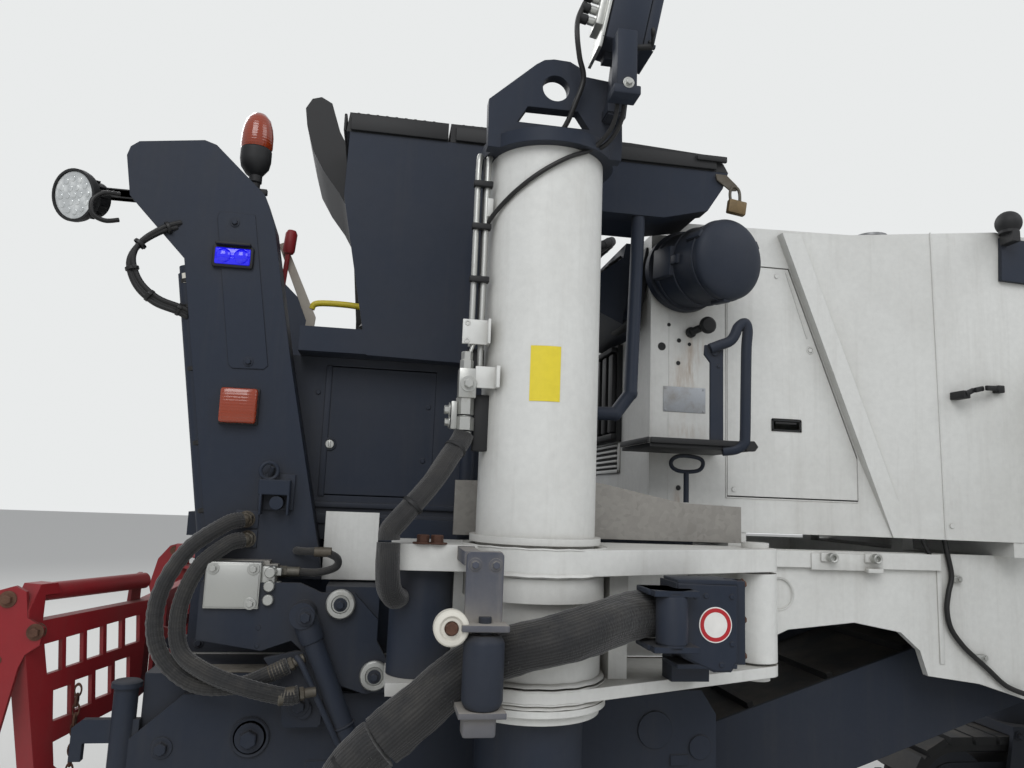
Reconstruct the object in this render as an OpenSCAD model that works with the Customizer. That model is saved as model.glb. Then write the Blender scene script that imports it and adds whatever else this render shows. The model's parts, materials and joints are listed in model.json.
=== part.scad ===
// Compact cold planer on four lifting tracks, with a slewing front conveyor.
// Millimetres. +X is forward, +Y is left, +Z is up, and the ground is at zero.
// Inside the modules X is counted from the drum axis; placed() moves it to the middle of the whole machine.

/* [Tracks] */
// Length of one crawler track over its pads
track_l = 1330; // [1200:10:1450]
// Width of the track pads
track_w = 260; // [220:5:290]
// Height of a track over its pads
track_h = 550; // [480:10:600]
// Thickness of one pad
pad_t = 34; // [24:1:40]
// Pads in one track
pad_count = 24; // [18:1:28]

/* [Legs] */
// Outer diameter of the leg's outer tube
leg_d = 280; // [240:2:284]
// Diameter of the sliding leg
rod_d = 244; // [200:2:250]
// Length of the outer tube
leg_len = 1290; // [1150:1:1320]
// Height of the outer tube's lower end above the ground
leg_low = 1128; // [1100:1:1160]
// Rear legs, forward of the drum axis
rear_leg_x = 290; // [260:1:300]
// Rear legs, from the middle of the machine
rear_leg_y = 920; // [915:1:960]
// Front legs, forward of the drum axis
front_leg_x = 3100; // [3060:10:3160]
// Front legs, from the middle of the machine
front_leg_y = 850; // [830:5:900]
// Swing pivot of the rear legs, forward of the drum axis
swing_x = 911; // [905:1:925]
// Swing pivot of the rear legs, from the middle of the machine
swing_y = 790; // [788:1:800]
// Diameter of the swing pivot pin
swing_pin_d = 70; // [50:2:76]

/* [Milling drum] */
// Milling width over the outer tools
drum_w = 1320; // [1200:10:1340]
// Radius over the tool tips
tool_r = 460; // [440:5:465]
// Radius of the bare drum tube
tube_r = 330; // [280:5:345]
// Height of the drum axis above the ground
drum_z = 640; // [620:5:660]
// Thickness of the edge plates beside the drum
edge_t = 22; // [14:1:24]

/* [Frame and body] */
// Half width over the frame's side plates
frame_y = 470; // [440:5:474]
// Thickness of the frame's side plates
frame_t = 24; // [16:1:30]
// Top of the frame
frame_z = 1470; // [1460:1:1475]
// Half width of the operator's deck
deck_y = 640; // [600:5:650]
// Thickness of the deck
deck_t = 60; // [40:1:70]
// Hood wall on the right, from the middle of the machine
hood_right = 440; // [400:5:450]
// Hood wall on the left, from the middle of the machine
hood_left = 600; // [560:5:620]
// Height of the hood's shoulder
hood_z = 2500; // [2450:5:2540]
// Outer faces of the side tanks, from the middle of the machine
tank_y = 900; // [860:10:940]
// Thickness of the sheet panels
sheet_t = 12; // [6:1:20]

/* [Conveyors] */
// Width of the belts
belt_w = 560; // [480:10:600]
// Thickness of the belts
belt_t = 14; // [10:1:20]
// Slope of the belt under the frame
gather_angle = 18; // [17:0.5:19]
// Length of the slewing front conveyor
boom_l = 7000; // [6000:50:7400]
// Slope of the front conveyor at rest
boom_angle = 17; // [14:0.5:20]
// Slewing pivot, forward of the drum axis
slew_x = 3560; // [3540:5:3600]

/* [Hidden] */
$fn = 48;
pi = 3.14159265;

// Working clearance between pieces that move past each other
gap = 6;
// Seat between pieces that only touch
seat = 0.3;
// Radial play of the sliding legs and of the pins
slide_gap = 0.6;
pin_gap = 0.05;
leg_top = leg_low + leg_len;
edge_y = drum_w / 2 + 45;
edge_low = drum_z - tool_r - 50;
edge_top = 1115;
edge_rear = -626;
edge_front = 830;
housing_y = edge_y - 10;
wall_t = 20;
housing_r = tool_r + 30;
deck_z = frame_z + deck_t;
flange_top = 1490;
flange_low = 1172;
flange_t = 57;
flange_thin = 27;
guard_pin_r = 17;
drum_stub_r = 120;
collar_r = leg_d / 2 + 27;
swing_r = 54;
carriage_half = track_w / 2 + 30;
saddle_z = track_h + 32;
slew_z = 860;
boom_z = 1150;
cheek_y = belt_w / 2 + 90;
tip_x = slew_x + (boom_l - 40) * cos(boom_angle) - 60 * sin(boom_angle);
tail_x = -1008;
mid_x = (tip_x + tail_x) / 2;

white = "#d9dad6";
slate = "#3a3f4b";
black = "#1d1e20";
steel = "#6f7276";
rubber = "#202123";
guard_red = "#8e1f24";

module placed() { translate([-mid_x, 0, 0]) children(); }

// A plate cut from a side view: points are [x, z], from y0 to y0 + t
module side_cut(y0, t) {
    translate([0, y0 + t, 0]) rotate([90, 0, 0]) linear_extrude(t) children();
}
module bar(a, b, r) {
    d = b - a;
    translate(a) rotate([0, acos(d[2] / norm(d)), atan2(d[1], d[0])]) cylinder(h = norm(d), r = r);
}
module cross_rod(x, z, r, w, y = 0) {
    translate([x, y + w / 2, z]) rotate([90, 0, 0]) cylinder(h = w, r = r);
}
module both_sides() { children(); mirror([0, 1, 0]) children(); }

// A smooth hose swept along its route points
function spline_at(p, i, t) =
    let (a = p[max(i - 1, 0)], b = p[i], c = p[i + 1], d = p[min(i + 2, len(p) - 1)])
    0.5 * (2 * b + (c - a) * t + (2 * a - 5 * b + 4 * c - d) * t * t + (3 * b - a - 3 * c + d) * t * t * t);
function smooth_path(p, steps) = concat([for (i = [0 : len(p) - 2]) for (k = [0 : steps - 1])
    spline_at(p, i, k / steps)], [p[len(p) - 1]]);
function unit(v) = v / norm(v);
function side_of(d, n) = unit(n - (n * d) * d);
function carried(path, i, n) = i == 0 ? side_of(unit(path[1] - path[0]), n)
    : side_of(unit(path[min(i + 1, len(path) - 1)] - path[i - 1]), carried(path, i - 1, n));
module hose(route, r, sides = 8, steps = 3, normal = [0.1, 0.2, 1]) {
    path = smooth_path(route, steps);
    n = len(path);
    points = [for (i = [0 : n - 1])
        let (d = unit(path[min(i + 1, n - 1)] - path[max(i - 1, 0)]),
            u = carried(path, i, normal), v = cross(d, u))
        for (k = [0 : sides - 1]) path[i] + r * (cos(360 * k / sides) * u + sin(360 * k / sides) * v)];
    faces = concat([[for (k = [0 : sides - 1]) k]],
        [[for (k = [0 : sides - 1]) (n - 1) * sides + sides - 1 - k]],
        [for (i = [0 : n - 2]) for (k = [0 : sides - 1])
            [i * sides + k, (i + 1) * sides + k, (i + 1) * sides + (k + 1) % sides, i * sides + (k + 1) % sides]]);
    polyhedron(points, faces, convexity = 6);
}

// One crawler track, around its own middle at ground level
wheel_x = track_l / 2 - track_h / 2;
loop_r = track_h / 2 - pad_t;
loop_len = 4 * wheel_x + 2 * pi * loop_r;
function loop_spot(s) =
    let (u = (s + loop_len) % loop_len, arc = pi * loop_r)
    u < 2 * wheel_x ? [-wheel_x + u, -loop_r, 0]
    : u < 2 * wheel_x + arc ? let (a = (u - 2 * wheel_x) / loop_r * 180 / pi)
        [wheel_x + loop_r * sin(a), -loop_r * cos(a), a]
    : u < 4 * wheel_x + arc ? [wheel_x - (u - 2 * wheel_x - arc), loop_r, 180]
    : let (a = (u - 4 * wheel_x - arc) / loop_r * 180 / pi)
        [-wheel_x - loop_r * sin(a), loop_r * cos(a), 180 + a];
module stadium(r) {
    translate([-wheel_x, -r]) square([2 * wheel_x, 2 * r]);
    for (s = [-1, 1]) translate([s * wheel_x, 0]) circle(r);
}
module chain_loop() {
    pad_len = loop_len / pad_count * 0.86;
    color(rubber) translate([0, 0, track_h / 2]) {
        side_cut(-track_w / 2 + 20, track_w - 40) difference() { stadium(loop_r + 4); stadium(loop_r - 36); }
        for (i = [0 : pad_count - 1]) {
            p = loop_spot(i * loop_len / pad_count);
            translate([p[0], 0, p[1]]) rotate([0, -p[2], 0])
                translate([-pad_len / 2, -track_w / 2, -pad_t]) cube([pad_len, track_w, pad_t + 2]);
        }
    }
}
module carriage() {
    inner_w = track_w - 60;
    color(slate) {
        translate([0, 0, track_h / 2]) {
            side_cut(-inner_w / 2 + 30, inner_w - 60) difference() {
                stadium(loop_r - 36 - 62);
                for (s = [-1, 1]) translate([s * wheel_x, 0]) circle(46);
            }
            for (s = [-1, 1]) cross_rod(s * wheel_x, 0, loop_r - 36 - seat, inner_w - 70);
            for (i = [-1.5 : 1 : 1.5]) cross_rod(i * wheel_x * 0.56, -loop_r + 36 + 62 + seat, 62, inner_w);
            cross_rod(0, 20, 70, 2 * carriage_half);
            cross_rod(wheel_x * 0.9, 0, 120, inner_w + 44);
        }
        for (s = [-1, 1]) side_cut(s > 0 ? track_w / 2 + 8 : -carriage_half, 22)
            polygon([[-150, 190], [150, 190], [170, 330], [120, saddle_z + 20], [-120, saddle_z + 20], [-170, 330]]);
        translate([-125, -carriage_half, track_h + gap])
            cube([250, 2 * carriage_half, saddle_z + 20 - track_h - gap]);
    }
    color(steel) translate([0, 0, saddle_z]) cylinder(h = leg_low + 560 - saddle_z, r = rod_d / 2);
}
module leg_tube(rings) {
    color(white) difference() {
        union() {
            translate([0, 0, leg_low]) cylinder(h = leg_len, r = leg_d / 2);
            for (k = rings) translate([0, 0, k[0]]) cylinder(h = k[1] - k[0], r = leg_d / 2 + k[2]);
        }
        translate([0, 0, leg_low - 1]) cylinder(h = leg_len - 24, r = rod_d / 2 + slide_gap);
    }
}

// The two plates that carry a rear leg from its swing pivot; y is positive here and mirrored for the right
arm_levels = [[flange_top - flange_t, flange_t], [flange_low, flange_thin]];
module arm_plates(hole_r) {
    color(white) difference() {
        union() {
            for (z = arm_levels) translate([0, 0, z[0]]) {
                linear_extrude(z[1]) hull() {
                    translate([rear_leg_x, rear_leg_y]) circle(collar_r + 4);
                    translate([swing_x, swing_y]) circle(swing_r);
                }
                translate([-40, rear_leg_y - 110, 0]) cube([300, 200, z[1]]);
            }
            translate([rear_leg_x + 170, rear_leg_y - 60, flange_low + 20])
                cube([44, 110, flange_top - flange_low - 40]);
        }
        translate([rear_leg_x, rear_leg_y, 0]) cylinder(h = 3000, r = hole_r);
        translate([swing_x, swing_y, 0]) cylinder(h = 3000, r = swing_pin_d / 2 + 0.6);
    }
}
module swing_bracket() {
    web_low = flange_low + flange_thin + gap;
    web_high = flange_top - flange_t - gap;
    color(white) {
        translate([swing_x, swing_y, web_low]) cylinder(h = web_high - web_low, r = swing_r);
        translate([swing_x - swing_r, frame_y - 5, web_low])
            cube([2 * swing_r, swing_y - frame_y + 5, web_high - web_low]);
    }
    color(steel) translate([swing_x, swing_y, flange_low - 14])
        cylinder(h = flange_top - flange_low + 28, r = swing_pin_d / 2);
}

// Frame: two side plates with the arch that the right leg swings under, and what joins them
module frame_side() {
    side_cut(frame_y - frame_t, frame_t) difference() {
        polygon([[-560, 1150.3], [900, 1150.3], [1040, 1170], [1180, 1230], [1401, 1253], [1560, 1225], [1625, 1170],
            [1650, 1094], [1830, 1070], [2200, 960], [3000, 900], [3110, 720], [3640, 670], [3720, 700],
            [3720, slew_z - 65], [3400, slew_z - 60], [3345, 980], [3330, 1060], [3330, frame_z], [-560, frame_z]]);
        translate([1150, 1335]) circle(46);
        translate([2300, 1220]) circle(90);
        translate([2650, 1180]) circle(90);
    }
}
module main_frame() {
    color(white) {
        both_sides() frame_side();
        both_sides() translate([1000, frame_y - 1, frame_z - 52]) cube([700, 15, 50]);
        for (x = [-560, 700, 1700]) translate([x, -frame_y + 5, frame_z - 170]) cube([40, 2 * frame_y - 10, 170]);
        translate([2350, -frame_y + 5, frame_z - 50]) cube([60, 2 * frame_y - 10, 50]);
        for (x = [1700, 2350]) for (y = [-300, 280]) translate([x, y, frame_z - 1])
            cube([40, 60, 1561 - frame_z - seat]);
        translate([1000, -hood_right + 2, frame_z - 1])
            cube([60, hood_right + hood_left - 4, hood_low + 1 - frame_z - seat]);
        for (x = [1900, 2350]) translate([x, -nose_right + 2, frame_z - 1])
            cube([60, nose_right + hood_left - 4, hood_low + 1 - frame_z - seat]);
        for (s = [-1, 1]) translate([3230, s > 0 ? frame_y - frame_t : -nose_right + 2, frame_z - 1])
            cube([60, nose_right - frame_y + frame_t - 2, hood_low + 1 - frame_z - seat]);
        translate([slew_x - 200, -frame_y + 5, slew_z - 110]) cube([330, 2 * frame_y - 10, 50]);
        translate([slew_x, 0, slew_z - 61]) cylinder(h = 61, r = 175);
        both_sides() translate([3690, frame_y - 30, 668]) difference() {
            cube([130, 40, 124]);
            translate([80, -1, 62]) rotate([-90, 0, 0]) cylinder(h = 50, r = 30);
        }
    }
    both_sides() swing_bracket();
}
module drum_housing() {
    color(slate) {
        difference() {
            side_cut(-housing_y, 2 * housing_y) union() {
                translate([-600, 900]) square([1250, 250]);
                translate([-600, 620]) square([60, 300]);
                translate([600, 700]) square([50, 220]);
            }
            cross_rod(0, drum_z, housing_r, 2 * housing_y - 2 * wall_t);
            translate([-539, -housing_y + wall_t, 600]) cube([1138, 2 * housing_y - 2 * wall_t, 380]);
            translate([590, -300, 640]) cube([70, 600, 330]);
        }
        both_sides() {
            for (x = [-500, 520]) translate([x, housing_y - 1, 420])
                cube([60, edge_y - housing_y + 1 - slide_gap, 728]);
            translate([slide_gap - 606, 560, 640]) cube([8, 40, 500]);
            side_cut(225, 250 - 225 - slide_gap) polygon([[-598, 1104], [-598, 1150], [-640, 1170], [-672, 1150],
                [-672, 1124], [-640, 1104]]);
            cross_rod(-648, 1142, guard_pin_r, 45, 225 + 22.5);
        }
        both_sides() side_cut(housing_y - wall_t, wall_t) difference() {
            polygon([[-600, 400], [-420, 330], [480, 330], [650, 420], [650, 920], [-600, 920]]);
            translate([0, drum_z]) circle(drum_stub_r + pin_gap);
        }
    }
}
module front_legs() {
    both_sides() translate([front_leg_x, front_leg_y, 0]) {
        leg_tube([[leg_low, leg_low + 130, 18], [leg_low + 330, leg_low + 390, 24]]);
        color(slate) translate([0, 0, leg_top - 1]) cylinder(h = 27, r = leg_d / 2 + 8);
        for (k = [[150, leg_low + 8, 300], [110, leg_low + 322, 56]]) color(white)
            translate([-k[0], frame_y + seat - front_leg_y, k[1]])
                cube([2 * k[0], front_leg_y - frame_y - seat - rod_d / 2 - 5, k[2]]);
    }
}
module rear_leg_left() {
    arm_plates(leg_d / 2 - 5);
    translate([rear_leg_x, rear_leg_y, 0]) {
        leg_tube([[leg_low, leg_low + 130, 18]]);
        translate([0, 0, leg_top - seat]) mirror([0, 1, 0]) head_block();
    }
    color(slate) mirror([0, 1, 0]) {
        guard_box(-1);
        guide_roller(-1);
    }
}
module engine_block() { color(steel) translate([1350, -330, 1560]) cube([1250, 700, 720]); }

// Hood: the right wall has the waist and the fold, the left wall is straight
hood_rear = 800;
fold_x = 1440;
corner_x = 1890;
hood_front = 3350;
nose_right = 560;
hood_low = 1516;
grille_low = 1800;
grille_h = 384;
module hood_plan(inset) {
    polygon([[hood_rear + inset, -hood_right + inset], [fold_x, -hood_right + inset], [corner_x, -nose_right + inset],
        [hood_front - inset, -nose_right + inset], [hood_front - inset, nose_right - inset], [3000, hood_left - inset],
        [hood_rear + inset, hood_left - inset]]);
}
module hood_side_view(inset) {
    polygon([[hood_rear + inset, hood_low - 1], [hood_front - inset, hood_low - 1], [hood_front - inset, 2230 - inset],
        [2900, hood_z - 40 - inset], [corner_x, hood_z + 30 - inset], [hood_rear + inset, hood_z - inset]]);
}
module hood_solid(inset) {
    intersection() {
        translate([0, 0, hood_low]) linear_extrude(1200) hood_plan(inset);
        side_cut(-1500, 3000) hood_side_view(inset);
    }
}
// Door opening in the right wall, leaning with the rib
door_points = [[996, 1625], [1499.5, 1625], [1214.5, 2380], [996, 2380]];
door_leaf = [[997.6, 1629], [1494, 1629], [1211, 2376], [997.6, 2376]];
module hood_shell() {
    color(white) difference() {
        union() {
            hood_solid(0);
            rib_pts = [[1175, hood_z - 10], [1240, hood_z - 10], [1608, hood_low], [1543, hood_low]];
            side_cut(-hood_right - 34, 40) polygon(rib_pts);
        }
        hood_solid(sheet_t);
        side_cut(-hood_right - 1, sheet_t + 2) polygon(door_points);
        translate([hood_front - 30, -430, grille_low]) cube([60, 860, grille_h]);
        translate([hood_front - 300, -360, hood_low - 1]) cube([400, 720, 1745 - hood_low]);
    }
    color(white) translate([1330, -120, hood_z - 14]) cube([430, 420, 110]);
}
module hood_door() {
    color(white) side_cut(-hood_right, sheet_t) difference() {
        polygon(door_leaf);
        translate([1150, 1840]) square([100, 40]);
    }
}
module hood_trim() {
    color(slate) {
        translate([hood_front - 10, -430 + seat, grille_low + seat]) for (i = [0 : 7])
            translate([0, 0, i * 51]) cube([16, 860 - 2 * seat, 26]);
        for (y = [-424, 0, 424]) translate([hood_front - 12, y - 6 + (y > 0 ? -seat : seat), grille_low + seat])
            cube([14, 12, grille_h - 2 * seat]);
        side_cut(-nose_right - 16, 15.7) polygon([[corner_x + 2, 2362], [2900, 2330], [hood_front, 2110],
            [hood_front, 2200], [2900, hood_z - 60], [corner_x + 10, hood_z + 10]]);
    }
}
module exhaust_stack() {
    color(steel) translate([2050, 330, hood_z + 23.5]) {
        cylinder(h = 300, r = 62);
        translate([0, 0, 290]) cylinder(h = 12, r = 70);
    }
}
module side_tanks() {
    color(white) for (s = [-1, 1]) {
        inner = s > 0 ? hood_left : nose_right;
        rear = s > 0 ? 1500 : 2010;
        side_cut(s > 0 ? inner + seat : -tank_y, tank_y - inner - seat) polygon([[rear + 50, 1516], [rear, 1570],
            [rear, 2080], [rear + 50, 2130], [2860, 2060], [2910, 1990], [2910, 1560], [2880, 1516]]);
    }
}

// Deck, bulkhead and the operator's station
deck_rear = -560;
walk_low = flange_top + 34;
post_y = 695;
post_in = post_y - 100;
module deck() {
    color(slate) {
        translate([deck_rear, -post_in + seat, frame_z]) cube([-180 - deck_rear, 2 * post_in - 2 * seat, deck_t]);
        translate([-181, -deck_y, frame_z]) cube([hood_rear + 181 - seat, 2 * deck_y, deck_t]);
        translate([hood_rear - 320, deck_y - 1, walk_low])
            cube([320 - seat, tank_y - deck_y, deck_z + 20 - walk_low]);
        translate([hood_rear - 2, hood_left + seat, walk_low])
            cube([1500 - hood_rear, tank_y - hood_left, deck_z + 20 - walk_low]);
        translate([-180, deck_y - 20, deck_z - 1]) cube([580, 20, 430]);
        translate([deck_rear, -450, deck_z - 1]) cube([16, 450 + post_in - seat, 430]);
    }
}
module bulkhead() {
    color(white) difference() {
        translate([hood_rear - 60 - seat, -hood_right, deck_z]) cube([60, hood_right + 540, 2454 - deck_z]);
        translate([hood_rear - 62, -154, 1800]) cube([40, 392, 348]);
    }
}
module storage_box() {
    color(black) translate([hood_rear - 60 - 16, -150, 1804]) cube([54, 384, 340]);
}
// Side view of the console's outer panel
console_pts = [[-216, 2576], [-220, 2392], [-133, 1956], [172, 1950], [347, 2110], [461, 2419],
    [690, 2419], [825, 2453], [872, 2526], [889, 2576]];
console_y = 680;
lid_x = 60;
module control_console() {
    color(slate) {
        side_cut(-console_y, 60) polygon(console_pts);
        side_cut(-console_y + 59, 174) polygon([[-216, 2576], [-216, 2432], [668, 2432], [825, 2463], [889, 2576]]);
        translate([-309, -console_y, 1958]) cube([462, 190, 66]);
        dashboard();
    }
    color(black) side_cut(-console_y, 249)
        polygon([[-226, 2575], [lid_x - gap, 2575], [lid_x - gap, 2631], [-219, 2631]]);
}
module console_lid() {
    color(black) side_cut(-console_y, 249) polygon([[lid_x, 2576.4], [889, 2576.4], [873, 2604], [825, 2626],
        [586, 2636], [lid_x, 2631]]);
}
module dashboard() {
    side_cut(-330, 420) polygon([[hood_rear - 60 - 2 * seat, 2150], [hood_rear - 60 - 2 * seat, 2454], [690, 2454],
        [680, 2404], [545, 2298], [540, 2240]]);
}
wheel_lean = 38.14;
module steering_wheel() {
    color(black) translate([563, -120, 2414]) rotate([0, -wheel_lean, 0]) {
        rotate_extrude() translate([165, 0]) circle(14);
        for (a = [0 : 120 : 359]) rotate([0, 0, a]) translate([20, -12, -8]) cube([135, 24, 14]);
        translate([0, 0, -79.4]) cylinder(h = 88, r = 30);
    }
}
module seat() {
    y = -225;
    color(black) {
        translate([-60, y, deck_z]) {
            cylinder(h = 280, r = 70);
            cylinder(h = 14, r = 160);
            translate([-150, -190, 270]) cube([360, 380, 60]);
            side_cut(-200, 400) polygon([[-130, 325], [240, 325], [262, 360], [250, 410], [-100, 402]]);
        }
        side_cut(y - 200, 400) polygon([[-170, 1940], [-176, 2100], [-196, 2300], [-220, 2440], [-250, 2492], [-300, 2556],
            [-339, 2622], [-362, 2700], [-370, 2755], [-352, 2788], [-325, 2797], [-292, 2780], [-262, 2690], [-205, 2590],
            [-140, 2500], [-118, 2400], [-100, 2200], [-60, 1940]]);
    }
}
rail_r = 19;
module rail_route(points) {
    for (i = [0 : len(points) - 2]) bar(points[i], points[i + 1], rail_r);
    for (i = [1 : len(points) - 2]) translate(points[i]) sphere(rail_r + 1.5);
}
module hand_rails() {
    y = -deck_y - rail_r - seat;
    color(slate) {
        rail_route([[620, y, 2418.6], [604, y, 1900], [560, y, 1840], [150, y, 1826], [150, y, 1490]]);
        rail_route([[-160, 598, deck_z], [-160, 598, 2430], [380, 598, 2430], [380, 598, deck_z]]);
        bar([-160, 598, 2180], [380, 598, 2180], rail_r - 3);
        rail_route([[-552, -380, 1959.2], [-552, -380, 2350], [-552, 300, 2350], [-552, 300, 1959.2]]);
        rail_route([[820, 870, 1550.2], [820, 870, 2430], [1460, 870, 2430], [1460, 870, 1550.2]]);
        bar([820, 870, 2050], [1460, 870, 2050], rail_r - 3);
    }
}
// Side view of a rear post
post_pts = [[-773, 2436], [-766, 2461], [-746, 2477], [-586, 2499], [-555, 2489], [-422, 2364], [-393, 2288],
    [-325, 1933], [-215, 1431], [-209, 1376], [-478, 1376], [-495, 1489], [-608, 2175], [-755, 2329]];
module rear_posts() {
    color(slate) {
        both_sides() side_cut(post_y - 100, 100) polygon(post_pts);
        both_sides() bar([-606, post_y - 30, 2140], [-500, post_y - 30, 1480], 20);
    }
}
module side_cabinet() {
    color(slate) difference() {
        translate([-330, -post_in + seat, deck_z]) cube([535, 104, 1958 - deck_z - seat]);
        translate([-238, -post_in - 1, 1585]) cube([300, 90, 350]);
    }
}
module cabinet_door() {
    color(slate) translate([-238 + gap / 2, -post_in + seat, 1585 + gap / 2])
        cube([300 - gap / 2 - slide_gap, 14, 350 - gap]);
}
module boarding_ladder() {
    color(slate) {
        for (x = [1020, 1400]) {
            bar([x, tank_y - 20, 480], [x, tank_y - 20, walk_low - 20], 18);
            translate([x - 18, tank_y - 38, walk_low - 40]) cube([36, 36, 40 - seat]);
        }
        for (i = [0 : 3]) translate([1020, tank_y - 50, 500 + i * 255]) cube([380, 64, 24]);
    }
}
module filter_canister() {
    a = [836, -474, 2326];
    b = [892, -672, 2312];
    color(slate) {
        bar(a, b, 118);
        translate(b) sphere(119.5);
        cross_rod(836, 2326, 90, 20, -hood_right - seat - 10);
        translate([840, -458, 2326]) rotate([90, 0, 0]) cylinder(h = 34, r = 128);
    }
}
module side_step() {
    color(slate) {
        translate([649, -700, 1752]) cube([300, 260 - seat, 22]);
        translate([649, -700, 1752]) cube([300, 14, 40]);
        for (x = [809, 930]) bar([x, -688, 1770], [x + 8, -688, 2080], 15);
        bar([817, -688, 2080], [938, -688, 2080], 15);
        for (x = [817, 938]) translate([x, -688, 2080]) sphere(16.5);
        for (z = [1880, 1990]) bar([812, -688, z], [934, -688, z], 11);
    }
}
module splash_plate() {
    color(steel) {
        side_cut(-712, 10) polygon([[117, 1497], [117, 1637], [504, 1645], [737, 1600], [910, 1595], [910, 1497]]);
        for (x = [230, 480, 720]) translate([x, -703, 1500]) cube([30, 703 - deck_y - seat, 26]);
    }
}
module work_lamps() {
    color(black) {
        both_sides() {
            aim = unit([-0.42, 0.88, -0.2]);
            c = [-880, post_y - 14, 2318];
            bar(c - 58 * aim, c, 46);
            bar(c - 4 * aim, c + 16 * aim, 64);
            translate([-866, post_y - 74, 2336]) cube([866 - 760.6, 28, 24]);
        }
        both_sides() {
            translate([3180, 380, 2410]) rotate([0, 90, 0]) cylinder(h = 70, r = 58);
            translate([3180, 360, 2317.4]) cube([40, 40, 60]);
        }
        translate([1906, -nose_right - 40, 2513]) { cylinder(h = 40, r = 30); translate([0, 0, 36]) sphere(40); }
        translate([1892, -nose_right - 70, 2480]) cube([28, 54 - seat, 34]);
    }
}
module amber_lamps() {
    color("#e0571f") {
        translate([-472, 10 + seat - post_in, 0]) {
            translate([0, 0, 2300]) cylinder(h = 150, r = 10);
            translate([0, 0, 2440]) cylinder(h = 24, r = 16);
            translate([0, 0, 2460]) cylinder(h = 74, r1 = 30, r2 = 40);
            translate([0, 0, 2530]) cylinder(h = 80, r1 = 40, r2 = 34);
            translate([0, 0, 2606]) sphere(36);
        }
        translate([-486, -post_y - 28, 1755]) cube([94, 28 - seat, 92]);
    }
}
module blue_lamp() {
    color("#2b2bff") translate([-487, -post_y - seat, 2186]) rotate([90, 0, 0]) {
        for (k = [-1, 1]) translate([k * 22, 0, 0]) cylinder(h = 26, r = 24);
        translate([-48, -27, 0]) cube([96, 54, 12]);
    }
}

// Belts: a loop round two pulleys, laid out along +X from its tail pulley and turned by its slope
module belt_loop(len_x, r) {
    side_cut(-belt_w / 2, belt_w) difference() {
        union() { translate([0, -r]) square([len_x, 2 * r]); for (x = [0, len_x]) translate([x, 0]) circle(r); }
        translate([0, -r + belt_t]) square([len_x, 2 * (r - belt_t)]);
        for (x = [0, len_x]) translate([x, 0]) circle(r - belt_t);
    }
}
gather_tail = [800, 700];
gather_r = 110;
gather_len = 2730;
module gather_placed() { translate([gather_tail[0], 0, gather_tail[1]]) rotate([0, -gather_angle, 0]) children(); }
module gather_conveyor() {
    inner = belt_w / 2 + 14;
    color(slate) gather_placed() {
        both_sides() side_cut(inner, 12) polygon([[-90, -100], [60, -150], [gather_len + 60, -150], [gather_len + 60, 140],
            [200, 140], [-90, 60]]);
        for (x = [350, 1150, 1950]) translate([x, -inner - 1, -148]) cube([80, 2 * inner + 2, 20]);
        for (x = [0, gather_len]) cross_rod(x, 0, gather_r - belt_t - seat, belt_w - 20);
        for (x = [0, gather_len]) cross_rod(x, 0, 30, 2 * inner + 4);
        for (x = [1300, 2100]) both_sides() translate([x, inner + 11, -20])
            cube([70, frame_y - frame_t - inner - 11 - seat, 60]);
    }
}
module gather_belt() {
    color(rubber) gather_placed() {
        belt_loop(gather_len, gather_r);
        for (x = [120 : 300 : gather_len - 100]) translate([x, -belt_w / 2 + 40, gather_r - 1])
            cube([20, belt_w - 80, 26]);
    }
}

// The slewing front conveyor
boom_r = 100;
boom_tail = -230;
boom_head = boom_l - 300;
boom_half = belt_w / 2 + 50;
boom_pin_r = 34;
lift_low = [slew_x + 290, slew_z - 10];
lift_at = [1150, -200];
lift_y = 200;
lift_pin_r = 20;
module boom_placed() { translate([slew_x, 0, boom_z]) rotate([0, -boom_angle, 0]) children(); }
module slew_head() {
    color(slate) {
        translate([slew_x, 0, slew_z + seat]) cylinder(h = 34, r = 190);
        both_sides() side_cut(boom_half + 6, 24) translate([slew_x, 0]) polygon([[-90, slew_z + 10], [186, slew_z + 4],
            [196, slew_z - 50], [232, slew_z - 50], [232, slew_z + 60], [70, boom_z + 60], [-70, boom_z + 60]]);
        translate([slew_x - 90, -boom_half - 20, slew_z + 10]) cube([180, 2 * boom_half + 40, 24]);
        translate([slew_x + 192, -boom_half - 20, slew_z - 50]) cube([38, 2 * boom_half + 40, 90]);
        both_sides() for (y = [lift_y - 44, lift_y + 32]) side_cut(y, 12) polygon([[slew_x + 225, slew_z - 48],
            [lift_low[0] + 14, lift_low[1] - 32], [lift_low[0] + 32, lift_low[1] - 10], [lift_low[0] + 32, lift_low[1] + 12],
            [lift_low[0] + 14, lift_low[1] + 32], [slew_x + 225, slew_z + 38]]);
    }
    color(steel) {
        both_sides() cross_rod(slew_x, boom_z, boom_pin_r, 50, boom_half + 6);
        both_sides() cross_rod(lift_low[0], lift_low[1], lift_pin_r, 88, lift_y);
    }
}
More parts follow.
